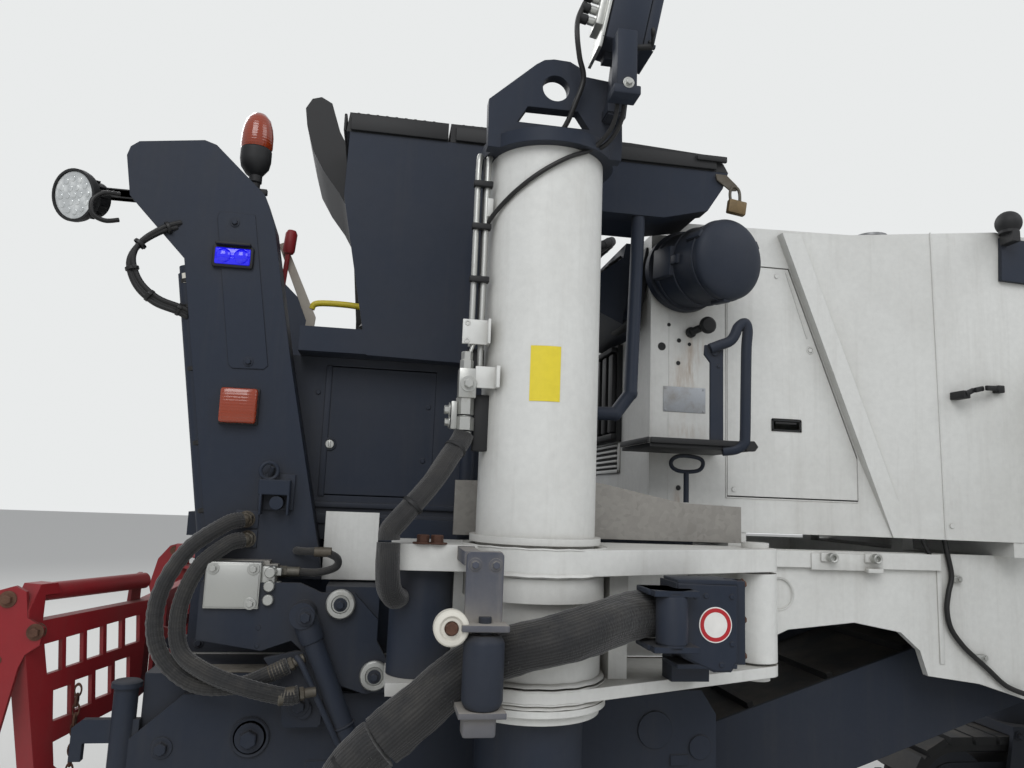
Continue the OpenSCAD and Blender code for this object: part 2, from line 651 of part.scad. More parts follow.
module boom_frame() {
    color(white) boom_placed() {
        both_sides() side_cut(boom_half - 14, 14) difference() {
            polygon([[boom_tail, -60], [500, -150], [boom_head - 400, -120], [boom_head + 130, -80],
                [boom_head + 130, 210], [900, 210], [boom_tail, 150]]);
            circle(boom_pin_r + pin_gap);
        }
        for (x = [400 : 900 : boom_head - 300]) translate([x, -boom_half + 5, -146 + (x > 3000 ? 20 : 0)])
            cube([90, 2 * boom_half - 10, 30]);
        for (x = [700 : 900 : boom_head - 300]) both_sides() translate([x, boom_half - 1, -100]) cube([50, 26, 290]);
    }
    color(steel) boom_placed() both_sides() cross_rod(lift_at[0], lift_at[1], lift_pin_r, 88, lift_y);
    color(white) boom_placed() {
        translate([lift_at[0] - 50, -boom_half + 5, -146]) cube([100, 2 * boom_half - 10, 22]);
        both_sides() for (y = [lift_y - 44, lift_y + 32]) side_cut(y, 12) polygon([[lift_at[0] - 50, -140],
            [lift_at[0] - 34, lift_at[1] - 24], [lift_at[0] + 34, lift_at[1] - 24], [lift_at[0] + 50, -140]]);
    }
}
module boom_cap() {
    color(slate) boom_placed() translate([boom_head - 200, -boom_half - seat - 14, 60]) difference() {
        cube([460, 2 * boom_half + 2 * seat + 28, 330]);
        translate([-1, 14, -1]) cube([447, 2 * boom_half + 2 * seat, 317]);
    }
}
module boom_belt() {
    color(rubber) boom_placed() {
        translate([boom_tail + 110, 0, 10]) belt_loop(boom_head - boom_tail - 110, boom_r);
        for (x = [0 : 450 : boom_head - 200]) translate([x, -belt_w / 2 + 40, boom_r + 9])
            cube([20, belt_w - 80, 10]);
    }
}
module boom_rollers() {
    color(steel) boom_placed() {
        for (x = [boom_tail + 110, boom_head]) cross_rod(x, 10, boom_r - belt_t - seat, belt_w - 20);
        for (x = [boom_tail + 110, boom_head]) cross_rod(x, 10, 26, 2 * boom_half - 28 - 0.6);
        for (x = [500 : 600 : boom_head - 400]) cross_rod(x, 10, 30, 2 * boom_half - 28 - 0.6);
    }
}
lift_high = [slew_x + lift_at[0] * cos(boom_angle) - lift_at[1] * sin(boom_angle),
    boom_z + lift_at[0] * sin(boom_angle) + lift_at[1] * cos(boom_angle)];
// Room in the rod's eye for the small drift of the linked cylinder
lift_drift = 4.2;
lift_span = norm(lift_high - lift_low);
lift_turn = atan2(lift_high[1] - lift_low[1], lift_high[0] - lift_low[0]);
module lift_placed() { translate([lift_low[0], 0, lift_low[1]]) rotate([0, -lift_turn, 0]) children(); }
module lift_barrels() {
    color(slate) both_sides() translate([0, lift_y, 0]) lift_placed() {
        difference() {
            translate([40, 0, 0]) rotate([0, 90, 0]) cylinder(h = 620, r = 45);
            translate([90, 0, 0]) rotate([0, 90, 0]) cylinder(h = 600, r = 25 + pin_gap);
            cross_rod(0, 0, lift_pin_r + pin_gap, 80);
        }
        difference() {
            cross_rod(0, 0, 42, 60);
            cross_rod(0, 0, lift_pin_r + pin_gap, 80);
        }
    }
}
module lift_rods() {
    color(steel) both_sides() translate([0, lift_y, 0]) lift_placed() {
        translate([300, 0, 0]) rotate([0, 90, 0]) cylinder(h = lift_span - 332, r = 25);
        translate([lift_span, 0, 0]) difference() {
            cross_rod(0, 0, 40, 60);
            cross_rod(0, 0, lift_pin_r + lift_drift, 80);
        }
    }
}

// Rear right: the linkage behind the leg, the valves and the hoses
module linkage() {
    color(slate) {
        side_cut(-766, 14) polygon([[-480, 1240], [-480, 1374], [-250, 1374], [-200, 1352], [-120, 1352], [-60, 1290],
            [-60, 1240], [-18, 1170], [-26, 1122], [-84, 1118], [-150, 1140], [-262, 1240], [-330, 1216]]);
        side_cut(-770, 18) polygon([[-322, 1200], [-250, 1216], [-178, 1216], [-180, 1052], [-188, 1044], [-262, 1044],
            [-270, 1054], [-276, 1140]]);
        translate([-190, -753, 1292]) cube([130, 753 - post_in - gap, 74]);
        translate([-190, -638, 1360]) cube([130, 638 - post_in - gap, frame_z - 1360 - seat]);
        bar([-232, -796, 1296], [-112, -796, 1022], 24);
        bar([-112, -796, 1022], [-96, -796, 986], 14);
        cross_rod(-236, 1306, 30, 64, -796);
        cross_rod(-222, 1085, 20, 14, -772);
    }
    color(steel) for (p = [[-152, 1328], [-62, 1163]]) cross_rod(p[0], p[1], 30, 16, -773);
}
module valve_blocks() {
    color(white) {
        translate([-480, -post_y - 36, 1310]) cube([150, 36 - seat, 112]);
        translate([-332, -post_y - 36, 1322]) cube([22, 30, 92]);
        translate([-209, -deck_y - 14, 1372]) cube([137, 14 - seat, 172]);
        translate([-190, -deck_y - 1, 1478]) cube([90, 1 - seat, 40]);
    }
}
module rear_hoses() {
    color(black) {
        hose([[-398, -post_y - 3.8, 1519], [-398, -724, 1519], [-440, -750, 1508], [-520, -766, 1440], [-568, -778, 1330],
            [-552, -790, 1220], [-470, -796, 1158], [-370, -800, 1160], [-300, -800, 1188], [-253, -796, 1208],
            [-226.3, -796, 1219.8]], 17);
        hose([[-392, -post_y - 3.8, 1471], [-392, -724, 1471], [-430, -752, 1462], [-488, -768, 1404], [-520, -772, 1310],
            [-506, -790, 1222], [-440, -820, 1196], [-350, -850, 1194], [-250, -868, 1190], [-205, -862, 1196],
            [-190, -842, 1200], [-190, -821, 1200]], 17);
        hose([[-309.6, -718, 1396], [-284, -718, 1396], [-214, -724, 1396], [-172, -728, 1410], [-170, -730, 1432],
            [-204, -730, 1446], [-250, -722, 1446], [-270, -708, 1446], [-270, -post_y - 2.8, 1446]], 10);
    }
    mirror([0, 1, 0]) {
        hose_bundle();
        arm_bundle();
    }
}

// Milling drum: tools stand in two helical rows
module milling_drum() {
    tools = 30;
    color(steel) difference() {
        union() {
            cross_rod(0, drum_z, tube_r, drum_w - 30);
            for (s = [-1, 1]) for (i = [0 : tools - 1]) {
                a = i * 41 + (s > 0 ? 0 : 180);
                y = s * (drum_w / 2 - 40 - i * (drum_w / 2 - 60) / tools);
                translate([0, y, drum_z]) rotate([0, a, 0]) {
                    translate([tube_r - 10, -32, -45]) cube([tool_r - 52 - tube_r, 64, 90]);
                    translate([tool_r - 68, 0, 20]) rotate([0, 60, 0]) cylinder(h = 66, r1 = 24, r2 = 9);
                }
            }
        }
        for (s = [-1, 1]) translate([0, s * (drum_w / 2 - 15 - 60), drum_z]) rotate([s * -90, 0, 0])
            cylinder(h = 120, r = tube_r - 40);
    }
    color(steel) cross_rod(0, drum_z, drum_stub_r, 2 * housing_y - 2);
}
module edge_plate() {
    color(slate) {
        side_cut(edge_y, edge_t) polygon([[edge_rear, 1000], [-502, edge_top - 6], [edge_front - 40, edge_top],
            [edge_front, edge_top - 60], [edge_front, edge_low + 130], [edge_front - 190, edge_low],
            [edge_rear + 190, edge_low], [edge_rear, edge_low + 130]]);
        for (p = [[-344, 1012, 46], [662, 1018, 46], [785, 974, 30]])
            translate([p[0], edge_y + edge_t - 1, p[1]]) rotate([-90, 0, 0]) cylinder(h = 6, r = p[2]);
        for (x = [-186, 728]) translate([x - 24, edge_y + edge_t - 1, 930]) cube([48, 5, 26]);
        translate([edge_rear - 8, edge_y + 4, 880]) cylinder(h = 250, r = 27);
        side_cut(edge_y - 4, 20) polygon([[edge_rear + 30, 1000], [edge_rear + 30, 1052], [-720, 1052], [-742, 1034],
            [-742, 960], [-716, 960], [-716, 1000]]);
        side_cut(edge_y + edge_t - 1, 9) polygon([[edge_rear + 180, edge_low + 6], [edge_front - 200, edge_low + 6],
            [edge_front - 130, edge_low + 60], [edge_rear + 110, edge_low + 60]]);
    }
}
module edge_plate_right() { mirror([0, 1, 0]) edge_plate(); }
module edge_plate_left() { edge_plate(); }
module scraper_door() {
    color(slate) {
        side_cut(-640, 1280) polygon([[-632, 200], [-606, 200], [-606, 820], [-632, 820]]);
        for (y = [-500, 0, 500]) translate([-660, y - 15, 260]) cube([30, 30, 520]);
    }
}
// One wing of the guard, laid out along +X from the middle section; it leans forward at its foot
module guard_wing() {
    difference() {
        side_cut(0, 12) polygon([[-4, 1030], [262, 985], [338, 1266], [-4, 1276]]);
        for (i = [0 : 4]) translate([46 + i * 61, -20, 1209 - i * 6.5]) side_cut(0, 60)
            polygon([[-30, -34], [20, -38], [29, 34], [-21, 38]]);
        for (i = [0 : 3]) translate([66 + i * 61, -20, 1104 - i * 11]) side_cut(0, 60)
            polygon([[-30, -34], [20, -38], [29, 34], [-21, 38]]);
    }
    side_cut(-22, 34) polygon([[-4, 1270], [338, 1260], [338, 1272], [-4, 1282]]);
    side_cut(-40, 52) polygon([[286, 1330], [330, 1330], [330, 1266], [262, 985], [252, 930], [196, 880], [150, 880],
        [150, 850], [214, 850], [300, 906], [312, 960], [366, 1200], [370, 1300], [346, 1356], [300, 1356]]);
    bar([-8, -14, 1332], [340, -14, 1334], 21);
    side_cut(-34, 12) polygon([[-8, 1270], [28, 1270], [22, 1344], [-8, 1354]]);
}
module rear_guard() {
    color(guard_red) {
        both_sides() side_cut(250, 20) difference() {
            polygon([[-632, 1108], [-614, 1142], [-632, 1176], [-690, 1190], [-690, 1094]]);
            translate([-648, 1142]) circle(guard_pin_r + pin_gap);
        }
        translate([-692, -420, 0]) difference() {
            translate([0, 0, 1030]) cube([12, 840, 246]);
            for (z = [1070, 1176]) for (i = [0 : 7]) translate([-10, 58 + i * 100, z - 4]) cube([40, 50, 72]);
        }
        translate([-714, -420, 1270]) cube([34, 840, 12]);
        both_sides() translate([-692, 417, 0]) rotate([0, 0, 117]) mirror([0, 1, 0]) guard_wing();
        both_sides() side_cut(740, 12) polygon([[-960, 1290], [-917, 1344], [-885, 1354], [-860, 1341], [-851, 1283],
            [-815, 1261], [-819, 1223], [-848, 1201], [-859, 1173], [-885, 1020], [-930, 1000], [-985, 1180]]);
    }
}

// Rear right leg: what swings with the plates, and what stays parallel to the machine
module swing_leg() { mirror([0, 1, 0]) arm_plates(leg_d / 2 + 1); }
module arm_fittings() {
    between = flange_top - flange_t - flange_low - flange_thin - 2 * seat;
    color(slate) {
        translate([33, -905, flange_low + flange_thin + seat]) cylinder(h = between, r = 72);
        guard_box(seat);
        guide_roller(seat);
    }
}
// Box where the hoses turn on to the arm; it stands on a bracket from the arm's lower plate. The fit is the
// room left at the arm's plates, or below zero where the left leg's plates are welded to it
module guard_box(fit) {
    side_cut(-1092, 96) polygon([[572, 1300], [592, 1268], [660, 1240], [700, 1240], [716, 1262], [716, 1428],
        [572, 1428]]);
    for (z = [1262, 1308, 1354, 1400]) translate([728, -1060, z]) cylinder(h = 34, r = 12);
    translate([700, -1066, 1256]) cube([22, 12, 180]);
    translate([600, -1000, flange_low + flange_thin + fit]) cube([90, 60, 90]);
    for (z = [1404, 1290]) translate([504, -1150, z]) cube([100, 110, 12]);
    translate([552, -1122, 1300]) cylinder(h = 108, r = 32);
}
// Steel roller on a bracket from the arm's upper plate, with a plastic roller beside it
module guide_roller(fit) {
    at = [145, -1168];
    translate([100, -1164, 1344]) cube([80, 14, 143]);
    translate([100, -1164, flange_top - 30]) cube([38, 1164 - rear_leg_y - 90 - fit, 28]);
    translate([98, -1202, 1334]) cube([90, 54, 12]);
    translate([at[0], at[1], 1184]) cylinder(h = 155, r = 12);
    translate([at[0], at[1], 1198]) cylinder(h = 128, r = 32);
    translate([96, -1202, 1176]) cube([94, 110, 12]);
    translate([96, -1202, 1176]) cube([40, 1202 - rear_leg_y - 90 - fit, 12]);
    translate([60, -1164, 1320]) cube([60, 14, 44]);
    cross_rod(77, 1342, 14, 36, -1177);
    cross_rod(77, 1342, 35, 28, -1180);
}
module rear_leg_right() {
    translate([rear_leg_x, -rear_leg_y, 0])
        leg_tube([[leg_low, flange_low - 6, 18], [flange_low + flange_thin + 6, leg_low + 130, 18],
            [flange_low - 26, flange_low - 12, 32], [1375, flange_top - flange_t - 6, 24], [flange_top + 6, flange_top + 22, 14]]);
}
// Head plate with its lifting lug and the mast foot; the leg's axis is its origin, and the lug stands across the leg
module head_block() {
    color(slate) {
        cylinder(h = 34, r = leg_d / 2 + 25);
        side_cut(-96, 32) difference() {
            polygon([[-164, 0], [-166, 119], [-54, 223], [-34, 237], [-10, 242], [30, 241], [52, 230], [67, 207],
                [162, 199], [166, 40], [164, 0]]);
            translate([-3, 167]) circle(33);
            polygon([[-96, 70], [83, 70], [52, 114], [-71, 112]]);
        }
        for (x = [-150, 120]) translate([x, -66, 0]) cube([30, 90, 60]);
    }
}
module leg_head() {
    translate([rear_leg_x, -rear_leg_y, leg_top + seat]) {
        head_block();
        color(slate) {
            translate([112, -150, 96]) cube([46, 56, 20]);
            translate([114, -146, 90]) rotate([0, 6, 0]) cube([44, 44, 170]);
            translate([104, -140, 235]) cube([76, 34, 44]);
            translate([84, -190, 262]) rotate([0, 11, 0]) {
                cube([128, 104, 200]);
                translate([-14, 10, 40]) cube([16, 84, 150]);
            }
        }
    }
}
valve_z = 1790;
module leg_fittings() {
    x0 = rear_leg_x;
    y0 = -rear_leg_y;
    color(steel) {
        for (k = [0, 1]) translate([x0 - 156 - k * 23, y0 - 36 - k * 6, valve_z + 10 + k * 120])
            cylinder(h = leg_top - 38 - valve_z - k * 120, r = 8);
        for (z = [valve_z + 182, leg_top - 178]) difference() {
            translate([x0 - 190, y0 - 70, z]) cube([90, 32, 62]);
            translate([x0, y0, 0]) cylinder(h = 3000, r = leg_d / 2 + seat);
        }
        difference() {
            translate([x0 - 172, y0 - 78, valve_z + 66]) cube([80, 56, 58]);
            translate([x0, y0, 0]) cylinder(h = 3000, r = leg_d / 2 + seat);
        }
        translate([x0 - 188, y0 - 60, valve_z]) cylinder(h = 140, r = 20);
    }
}
module hose_bundle() {
    color(black) hose([[-50, -1088, 1070], [-95, -1084, 1000], [-118, -1070, 900], [-90, -1052, 780], [10, -1040, 700],
        [120, -1030, 672], [186, -1022, 682], [196, -1020, 660], [196, -1020, saddle_z + 22]], 44, 10, 3);
}
// Wrapped hoses between the guard box and the guide roller, which go on past the arm to the track
module arm_bundle() {
    color(black) hose([[570, -1040, 1350], [540, -1040, 1350], [512, -1043, 1350], [460, -1082, 1349],
        [380, -1140, 1336], [290, -1164, 1310], [210, -1112, 1284], [145, -1080, 1264], [80, -1080, 1244], [20, -1085, 1206],
        [-26, -1086, 1182]], 44, 10, 2);
}
// The hose from the valve on the leg, in two lengths because the arm turns under the leg's own one
module column_hose() {
    color(black) hose([[102, -980, 1788.8], [101, -982, 1740], [78, -1004, 1690], [34, -1030, 1620], [-16, -1042, 1560],
        [-48, -1042, 1520], [-50, -1042, 1499]], 26, 8, 3);
}
module arm_hose_end() {
    color(black) hose([[-50, -1042, 1493], [-50, -1042, 1450], [-46, -1030, 1405], [-34, -1002, 1378], [-24, -968, 1370]],
        26, 8, 3);
}
module arm_hoses() {
    arm_bundle();
    arm_hose_end();
}
module leg_hoses() {
    hose_bundle();
    column_hose();
}
module front_left_chain() { translate([front_leg_x, front_leg_y, 0]) chain_loop(); }
module front_left_carriage() { translate([front_leg_x, front_leg_y, 0]) carriage(); }
module front_right_chain() { translate([front_leg_x, -front_leg_y, 0]) chain_loop(); }
module front_right_carriage() { translate([front_leg_x, -front_leg_y, 0]) mirror([0, 1, 0]) carriage(); }
module rear_left_chain() { translate([rear_leg_x, rear_leg_y, 0]) chain_loop(); }
module rear_left_carriage() { translate([rear_leg_x, rear_leg_y, 0]) carriage(); }
module rear_right_chain() { translate([rear_leg_x, -rear_leg_y, 0]) chain_loop(); }
module rear_right_carriage() { translate([rear_leg_x, -rear_leg_y, 0]) mirror([0, 1, 0]) carriage(); }

placed() main_frame();
placed() drum_housing();
placed() front_legs();
placed() rear_leg_left();
placed() engine_block();
placed() hood_shell();
placed() hood_trim();
placed() exhaust_stack();
placed() side_tanks();
placed() deck();
placed() bulkhead();
placed() storage_box();
placed() control_console();
placed() steering_wheel();
placed() seat();
placed() hand_rails();
placed() rear_posts();
placed() side_cabinet();
placed() boarding_ladder();
placed() filter_canister();
placed() side_step();
placed() splash_plate();
placed() work_lamps();
placed() amber_lamps();
placed() blue_lamp();
placed() gather_conveyor();
placed() gather_belt();
placed() linkage();
placed() valve_blocks();
placed() rear_hoses();
placed() milling_drum();
placed() edge_plate_right();
placed() edge_plate_left();
placed() scraper_door();
placed() rear_guard();
placed() hood_door();
placed() cabinet_door();
placed() console_lid();
placed() front_left_chain();
placed() front_left_carriage();
placed() front_right_chain();
placed() front_right_carriage();
placed() rear_left_chain();
placed() rear_left_carriage();
placed() rear_right_chain();
placed() rear_right_carriage();
placed() swing_leg();
placed() arm_fittings();
placed() rear_leg_right();
placed() leg_head();
placed() leg_fittings();
placed() leg_hoses();
placed() arm_hoses();
placed() slew_head();
placed() boom_frame();
placed() boom_cap();
placed() boom_belt();
placed() boom_rollers();
placed() lift_barrels();
placed() lift_rods();
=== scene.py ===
"""A compact front-loading cold planer on four tracked lifting legs, dressed over its CAD frame.

The machine points along +X. Places in the text are millimetres counted from the drum axis on the ground, and
spot() turns them into metres in the model's frame, whose origin is under the middle of the whole machine."""
import json
import math
import random

import bmesh
import bpy
from mathutils import Matrix, Vector, noise


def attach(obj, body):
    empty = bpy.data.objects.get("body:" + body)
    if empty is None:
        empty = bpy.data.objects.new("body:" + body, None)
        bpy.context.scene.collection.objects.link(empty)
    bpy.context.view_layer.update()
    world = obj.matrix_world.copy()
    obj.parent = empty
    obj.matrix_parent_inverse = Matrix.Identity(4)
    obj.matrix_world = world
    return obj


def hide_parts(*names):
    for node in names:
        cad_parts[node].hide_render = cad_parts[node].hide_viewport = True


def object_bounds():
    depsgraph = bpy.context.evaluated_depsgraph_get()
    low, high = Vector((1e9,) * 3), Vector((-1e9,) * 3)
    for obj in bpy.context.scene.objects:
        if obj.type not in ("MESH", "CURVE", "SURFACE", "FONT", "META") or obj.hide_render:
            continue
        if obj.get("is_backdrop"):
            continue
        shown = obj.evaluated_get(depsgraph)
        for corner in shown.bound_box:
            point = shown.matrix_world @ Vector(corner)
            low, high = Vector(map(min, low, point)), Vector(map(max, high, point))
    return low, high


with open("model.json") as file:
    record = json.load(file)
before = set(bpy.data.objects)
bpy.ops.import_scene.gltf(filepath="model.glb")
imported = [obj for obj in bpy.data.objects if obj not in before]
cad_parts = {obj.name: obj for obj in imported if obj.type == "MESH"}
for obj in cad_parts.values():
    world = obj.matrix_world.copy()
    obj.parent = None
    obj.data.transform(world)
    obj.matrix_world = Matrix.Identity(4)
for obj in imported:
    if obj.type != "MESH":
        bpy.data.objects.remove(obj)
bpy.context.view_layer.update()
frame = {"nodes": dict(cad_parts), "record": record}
scene = bpy.context.scene
scene.view_settings.view_transform = "Standard"
bodies = frame["record"]["behaviour"]["bodies"]
body_of = {node: body for body, nodes in bodies.items() for node in nodes}


# Camera: a compact camera held at eye level beside the rear right leg, looking slightly up and forward, and
# tilted a little to the right.
DRUM_X = -4595.1694
EYE = (-80, -2743, 1600)
YAW, PITCH, ROLL = math.radians(9.4), math.radians(8.24), math.radians(2.2)
SENSOR_MM, FOCAL_PX, PICTURE_PX = 36, 776, 1024


def spot(x, y, z):
    return Vector(((x + DRUM_X) / 1000, y / 1000, z / 1000))


ahead = Vector((math.sin(YAW) * math.cos(PITCH), math.cos(YAW) * math.cos(PITCH), math.sin(PITCH)))
level = Vector((math.cos(YAW), -math.sin(YAW), 0))
upright = level.cross(ahead)
rightward = math.cos(ROLL) * level + math.sin(ROLL) * upright
skyward = -math.sin(ROLL) * level + math.cos(ROLL) * upright
camera_data = bpy.data.cameras.new("camera")
camera_data.sensor_width = SENSOR_MM
camera_data.lens = SENSOR_MM * FOCAL_PX / PICTURE_PX
camera_data.clip_end = 200
camera = bpy.data.objects.new("camera", camera_data)
scene.collection.objects.link(camera)
turn = Matrix((rightward, skyward, -ahead)).transposed().to_4x4()
camera.matrix_world = Matrix.Translation(spot(*EYE)) @ turn
scene.camera = camera


# Floor and light: a plain pale studio floor with a faint mottle, an even white sky that
# looks pale grey behind the machine, and three broad soft lamps overhead.
def linear(code):
    parts = [int(code[i:i + 2], 16) / 255 for i in (1, 3, 5)]
    return [c / 12.92 if c <= 0.04045 else ((c + 0.055) / 1.055) ** 2.4 for c in parts] + [1.0]


def add(tree, kind, inputs=None, **settings):
    """One node with its settings. inputs maps a socket's name or number to a value, or to
    the socket that feeds it; a node given there feeds it with its first output."""
    node = tree.nodes.new("ShaderNode" + kind)
    for key, value in settings.items():
        setattr(node, key, value)
    for key, value in (inputs or {}).items():
        if isinstance(value, bpy.types.Node):
            value = value.outputs[0]
        if isinstance(value, bpy.types.NodeSocket):
            tree.links.new(value, node.inputs[key])
        else:
            node.inputs[key].default_value = value
    return node


def fresh_material(name):
    material = bpy.data.materials.new(name)
    material.use_nodes = True
    material.node_tree.nodes.clear()
    return material, material.node_tree


floor_paint, tree = fresh_material("studio_floor")
grain = add(tree, "TexNoise", {"Vector": add(tree, "TexCoord").outputs["Object"], "Scale": 3.0,
                               "Detail": 4.0})
tint = add(tree, "MapRange", {"Value": grain, "To Min": 0.96, "To Max": 1.0})
shade = add(tree, "Mix", {0: tint, 6: linear("#b4b4b1"), 7: linear("#cdcdca")}, data_type="RGBA")
surface = add(tree, "BsdfPrincipled", {"Base Color": shade.outputs[2], "Roughness": 0.85})
add(tree, "OutputMaterial", {"Surface": surface})
bm = bmesh.new()
bmesh.ops.create_grid(bm, x_segments=1, y_segments=1, size=40)
floor_mesh = bpy.data.meshes.new("studio_floor")
bm.to_mesh(floor_mesh)
bm.free()
floor_mesh.materials.append(floor_paint)
floor = bpy.data.objects.new("studio_floor", floor_mesh)
scene.collection.objects.link(floor)
floor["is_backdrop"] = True

sky = bpy.data.worlds.new("studio_sky")
sky.use_nodes = True
scene.world = sky
tree = sky.node_tree
tree.nodes.clear()
path = add(tree, "LightPath")
seen = add(tree, "Math", {0: path.outputs["Is Camera Ray"], 1: path.outputs["Is Transmission Ray"]},
           operation="MAXIMUM")
light_sky = add(tree, "Background", {"Color": linear("#f4f6fa"), "Strength": 0.62})
pale_sky = add(tree, "Background", {"Color": linear("#eceeee"), "Strength": 0.97})
choice = add(tree, "MixShader", {0: seen, 1: light_sky, 2: pale_sky})
add(tree, "OutputWorld", {"Surface": choice})

for name, place, aim, size, watts in (("lamp_side", (-2500, -9000, 8500), (600, -500, 1400), 6.0, 430),
                                      ("lamp_front", (9000, -6000, 9000), (1500, 0, 1400), 6.0, 220),
                                      ("lamp_back", (-5000, 7000, 8500), (1500, 0, 1400), 6.0, 420)):
    lamp_data = bpy.data.lights.new(name, "AREA")
    lamp_data.size = size
    lamp_data.energy = watts
    lamp = bpy.data.objects.new(name, lamp_data)
    scene.collection.objects.link(lamp)
    turn = (spot(*aim) - spot(*place)).to_track_quat("-Z", "Y").to_matrix().to_4x4()
    lamp.matrix_world = Matrix.Translation(spot(*place)) @ turn


# White enamel: two-pack machine enamel sprayed on primed steel, off-white and half gloss. Dust lies on what
# faces up, the paint darkens towards the bottom, painted shade darkens its corners, and the spray leaves a
# faint orange peel.
def enamel(name, paint, grime_and_shade, gloss, grime_and_shade_share, shine=0.4, round_mm=2.5):
    peel_mm = 3.0
    material, tree = fresh_material(name)
    coords = add(tree, "TexCoord").outputs["Object"]
    broad = add(tree, "TexNoise", {"Vector": coords, "Scale": 2.2, "Detail": 7.0, "Roughness": 0.62})
    runs = add(tree, "Mapping", {"Vector": coords, "Scale": (18.0, 18.0, 1.1)})
    streaks = add(tree, "TexNoise", {"Vector": runs, "Scale": 1.0, "Detail": 5.0, "Roughness": 0.7})
    specks = add(tree, "TexNoise", {"Vector": coords, "Scale": 55.0, "Detail": 3.0, "Roughness": 0.6})
    # Corner mask from ambient occlusion: it lays the grime tint into corners. On the light paints this is
    # painted shade, and on the dark paints it is lighter dust.
    corner = add(tree, "AmbientOcclusion", {"Distance": 0.09}, samples=4)
    corner_dirt_and_shade = add(tree, "MapRange", {"Value": corner.outputs["AO"], "From Min": 0.25, "From Max": 0.95,
                                    "To Min": 1.0, "To Max": 0.0})
    up = add(tree, "SeparateXYZ", {0: add(tree, "NewGeometry").outputs["Normal"]}).outputs["Z"]
    dust = add(tree, "MapRange", {"Value": up, "From Min": 0.35, "From Max": 1.0, "To Min": 0.0,
                                  "To Max": 0.75})
    height = add(tree, "SeparateXYZ", {0: coords}).outputs["Z"]
    low = add(tree, "MapRange", {"Value": height, "From Min": 0.0, "From Max": 1.3, "To Min": 0.65,
                                 "To Max": 0.0})
    patches = add(tree, "MapRange", {"Value": broad, "From Min": 0.45, "From Max": 0.72})
    lines = add(tree, "MapRange", {"Value": streaks, "From Min": 0.52, "From Max": 0.8})
    total = add(tree, "Math", {0: corner_dirt_and_shade, 1: dust}, operation="ADD")
    total = add(tree, "Math", {0: total, 1: low}, operation="ADD")
    marks = add(tree, "Math", {0: patches, 1: lines}, operation="ADD")
    total = add(tree, "Math", {0: marks, 1: 0.45, 2: total}, operation="MULTIPLY_ADD")
    share = add(tree, "Math", {0: total, 1: grime_and_shade_share}, operation="MULTIPLY", use_clamp=True)
    fleck = add(tree, "MapRange", {"Value": specks, "From Min": 0.3, "From Max": 0.7, "To Min": 0.965,
                                   "To Max": 1.03})
    tone = add(tree, "Mix", {0: share, 6: linear(paint), 7: linear(grime_and_shade)}, data_type="RGBA")
    colour = add(tree, "HueSaturation", {"Color": tone.outputs[2], "Value": fleck})
    rough = add(tree, "MapRange", {"Value": share, "To Min": 1 - gloss, "To Max": 0.88})
    edge = add(tree, "Bevel", {"Radius": round_mm / 1000}, samples=4)
    peel = add(tree, "TexNoise", {"Vector": coords, "Scale": 1000 / peel_mm / 2, "Detail": 1.0})
    bump = add(tree, "Bump", {"Height": peel, "Strength": 0.05, "Distance": 0.002, "Normal": edge})
    surface = add(tree, "BsdfPrincipled", {"Base Color": colour, "Roughness": rough,
                                           "Normal": bump, "Specular IOR Level": shine})
    add(tree, "OutputMaterial", {"Surface": surface})
    return material


SHARP_DEG = 32


def dress(node, finish, *parts, without=None):
    """A smooth-shaded piece in a CAD node's shape. parts are (finish, test) pairs, and without is a test of
    what a finer piece below takes the place of; each test reads the middle of a face in drum millimetres."""
    bm = bmesh.new()
    bm.from_mesh(frame["nodes"][node].data)
    bmesh.ops.remove_doubles(bm, verts=bm.verts, dist=1e-5)

    def middle(face):
        return face.calc_center_median() * 1000 - Vector((DRUM_X, 0, 0))

    if without:
        bmesh.ops.delete(bm, geom=[face for face in bm.faces if without(middle(face))], context="FACES")
    for face in bm.faces:
        face.material_index = next((i + 1 for i, (_, test) in enumerate(parts) if test(middle(face))), 0)
        face.smooth = True
    mesh = bpy.data.meshes.new(node + "_dressed")
    bm.to_mesh(mesh)
    bm.free()
    if "custom_normal" in mesh.attributes:
        mesh.attributes.remove(mesh.attributes["custom_normal"])
    for material in [finish, *(part for part, _ in parts)]:
        mesh.materials.append(material)
    mesh.set_sharp_from_angle(angle=math.radians(SHARP_DEG))
    piece = bpy.data.objects.new(node + "_dressed", mesh)
    scene.collection.objects.link(piece)
    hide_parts(node)
    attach(piece, body_of[node])
    return piece


white = enamel("white_enamel", "#dadbd8", "#857f74", 0.62, 0.4)
for node in ("main_frame", "front_legs", "rear_leg_left", "hood_shell", "side_tanks", "bulkhead", "hood_door",
             "swing_leg", "rear_leg_right", "boom_frame"):
    dress(node, white)


# Dark enamel: the same two-pack paint in a blue-grey, sprayed on the housing, deck,
# posts, console, rails and track frames. It is a little less glossy than the white, and
# brown dust dulls its corners and the foot of each plate.
slate = enamel("slate_enamel", "#272e3b", "#55524d", 0.5, 0.3, 0.22)
for node in ("drum_housing", "hood_trim", "deck", "hand_rails", "rear_posts", "side_cabinet",
             "boarding_ladder", "linkage", "edge_plate_right", "edge_plate_left", "scraper_door",
             "cabinet_door", "front_left_carriage", "front_right_carriage", "rear_left_carriage",
             "rear_right_carriage", "slew_head", "boom_cap", "lift_barrels", "gather_conveyor"):
    dress(node, slate)

dress("arm_fittings", slate, without=lambda m: m.x < 200 and m.y < -1012)
dress("leg_head", slate, without=lambda m: m.z > 2675)


# Red enamel: the rear guard is sprayed with the same kind of paint after it is welded.
# The red has faded outdoors, and brown dust lies on its level faces.
guard_red = enamel("guard_red_enamel", "#8b1d24", "#5d4a44", 0.5, 0.4)
dress("rear_guard", guard_red)


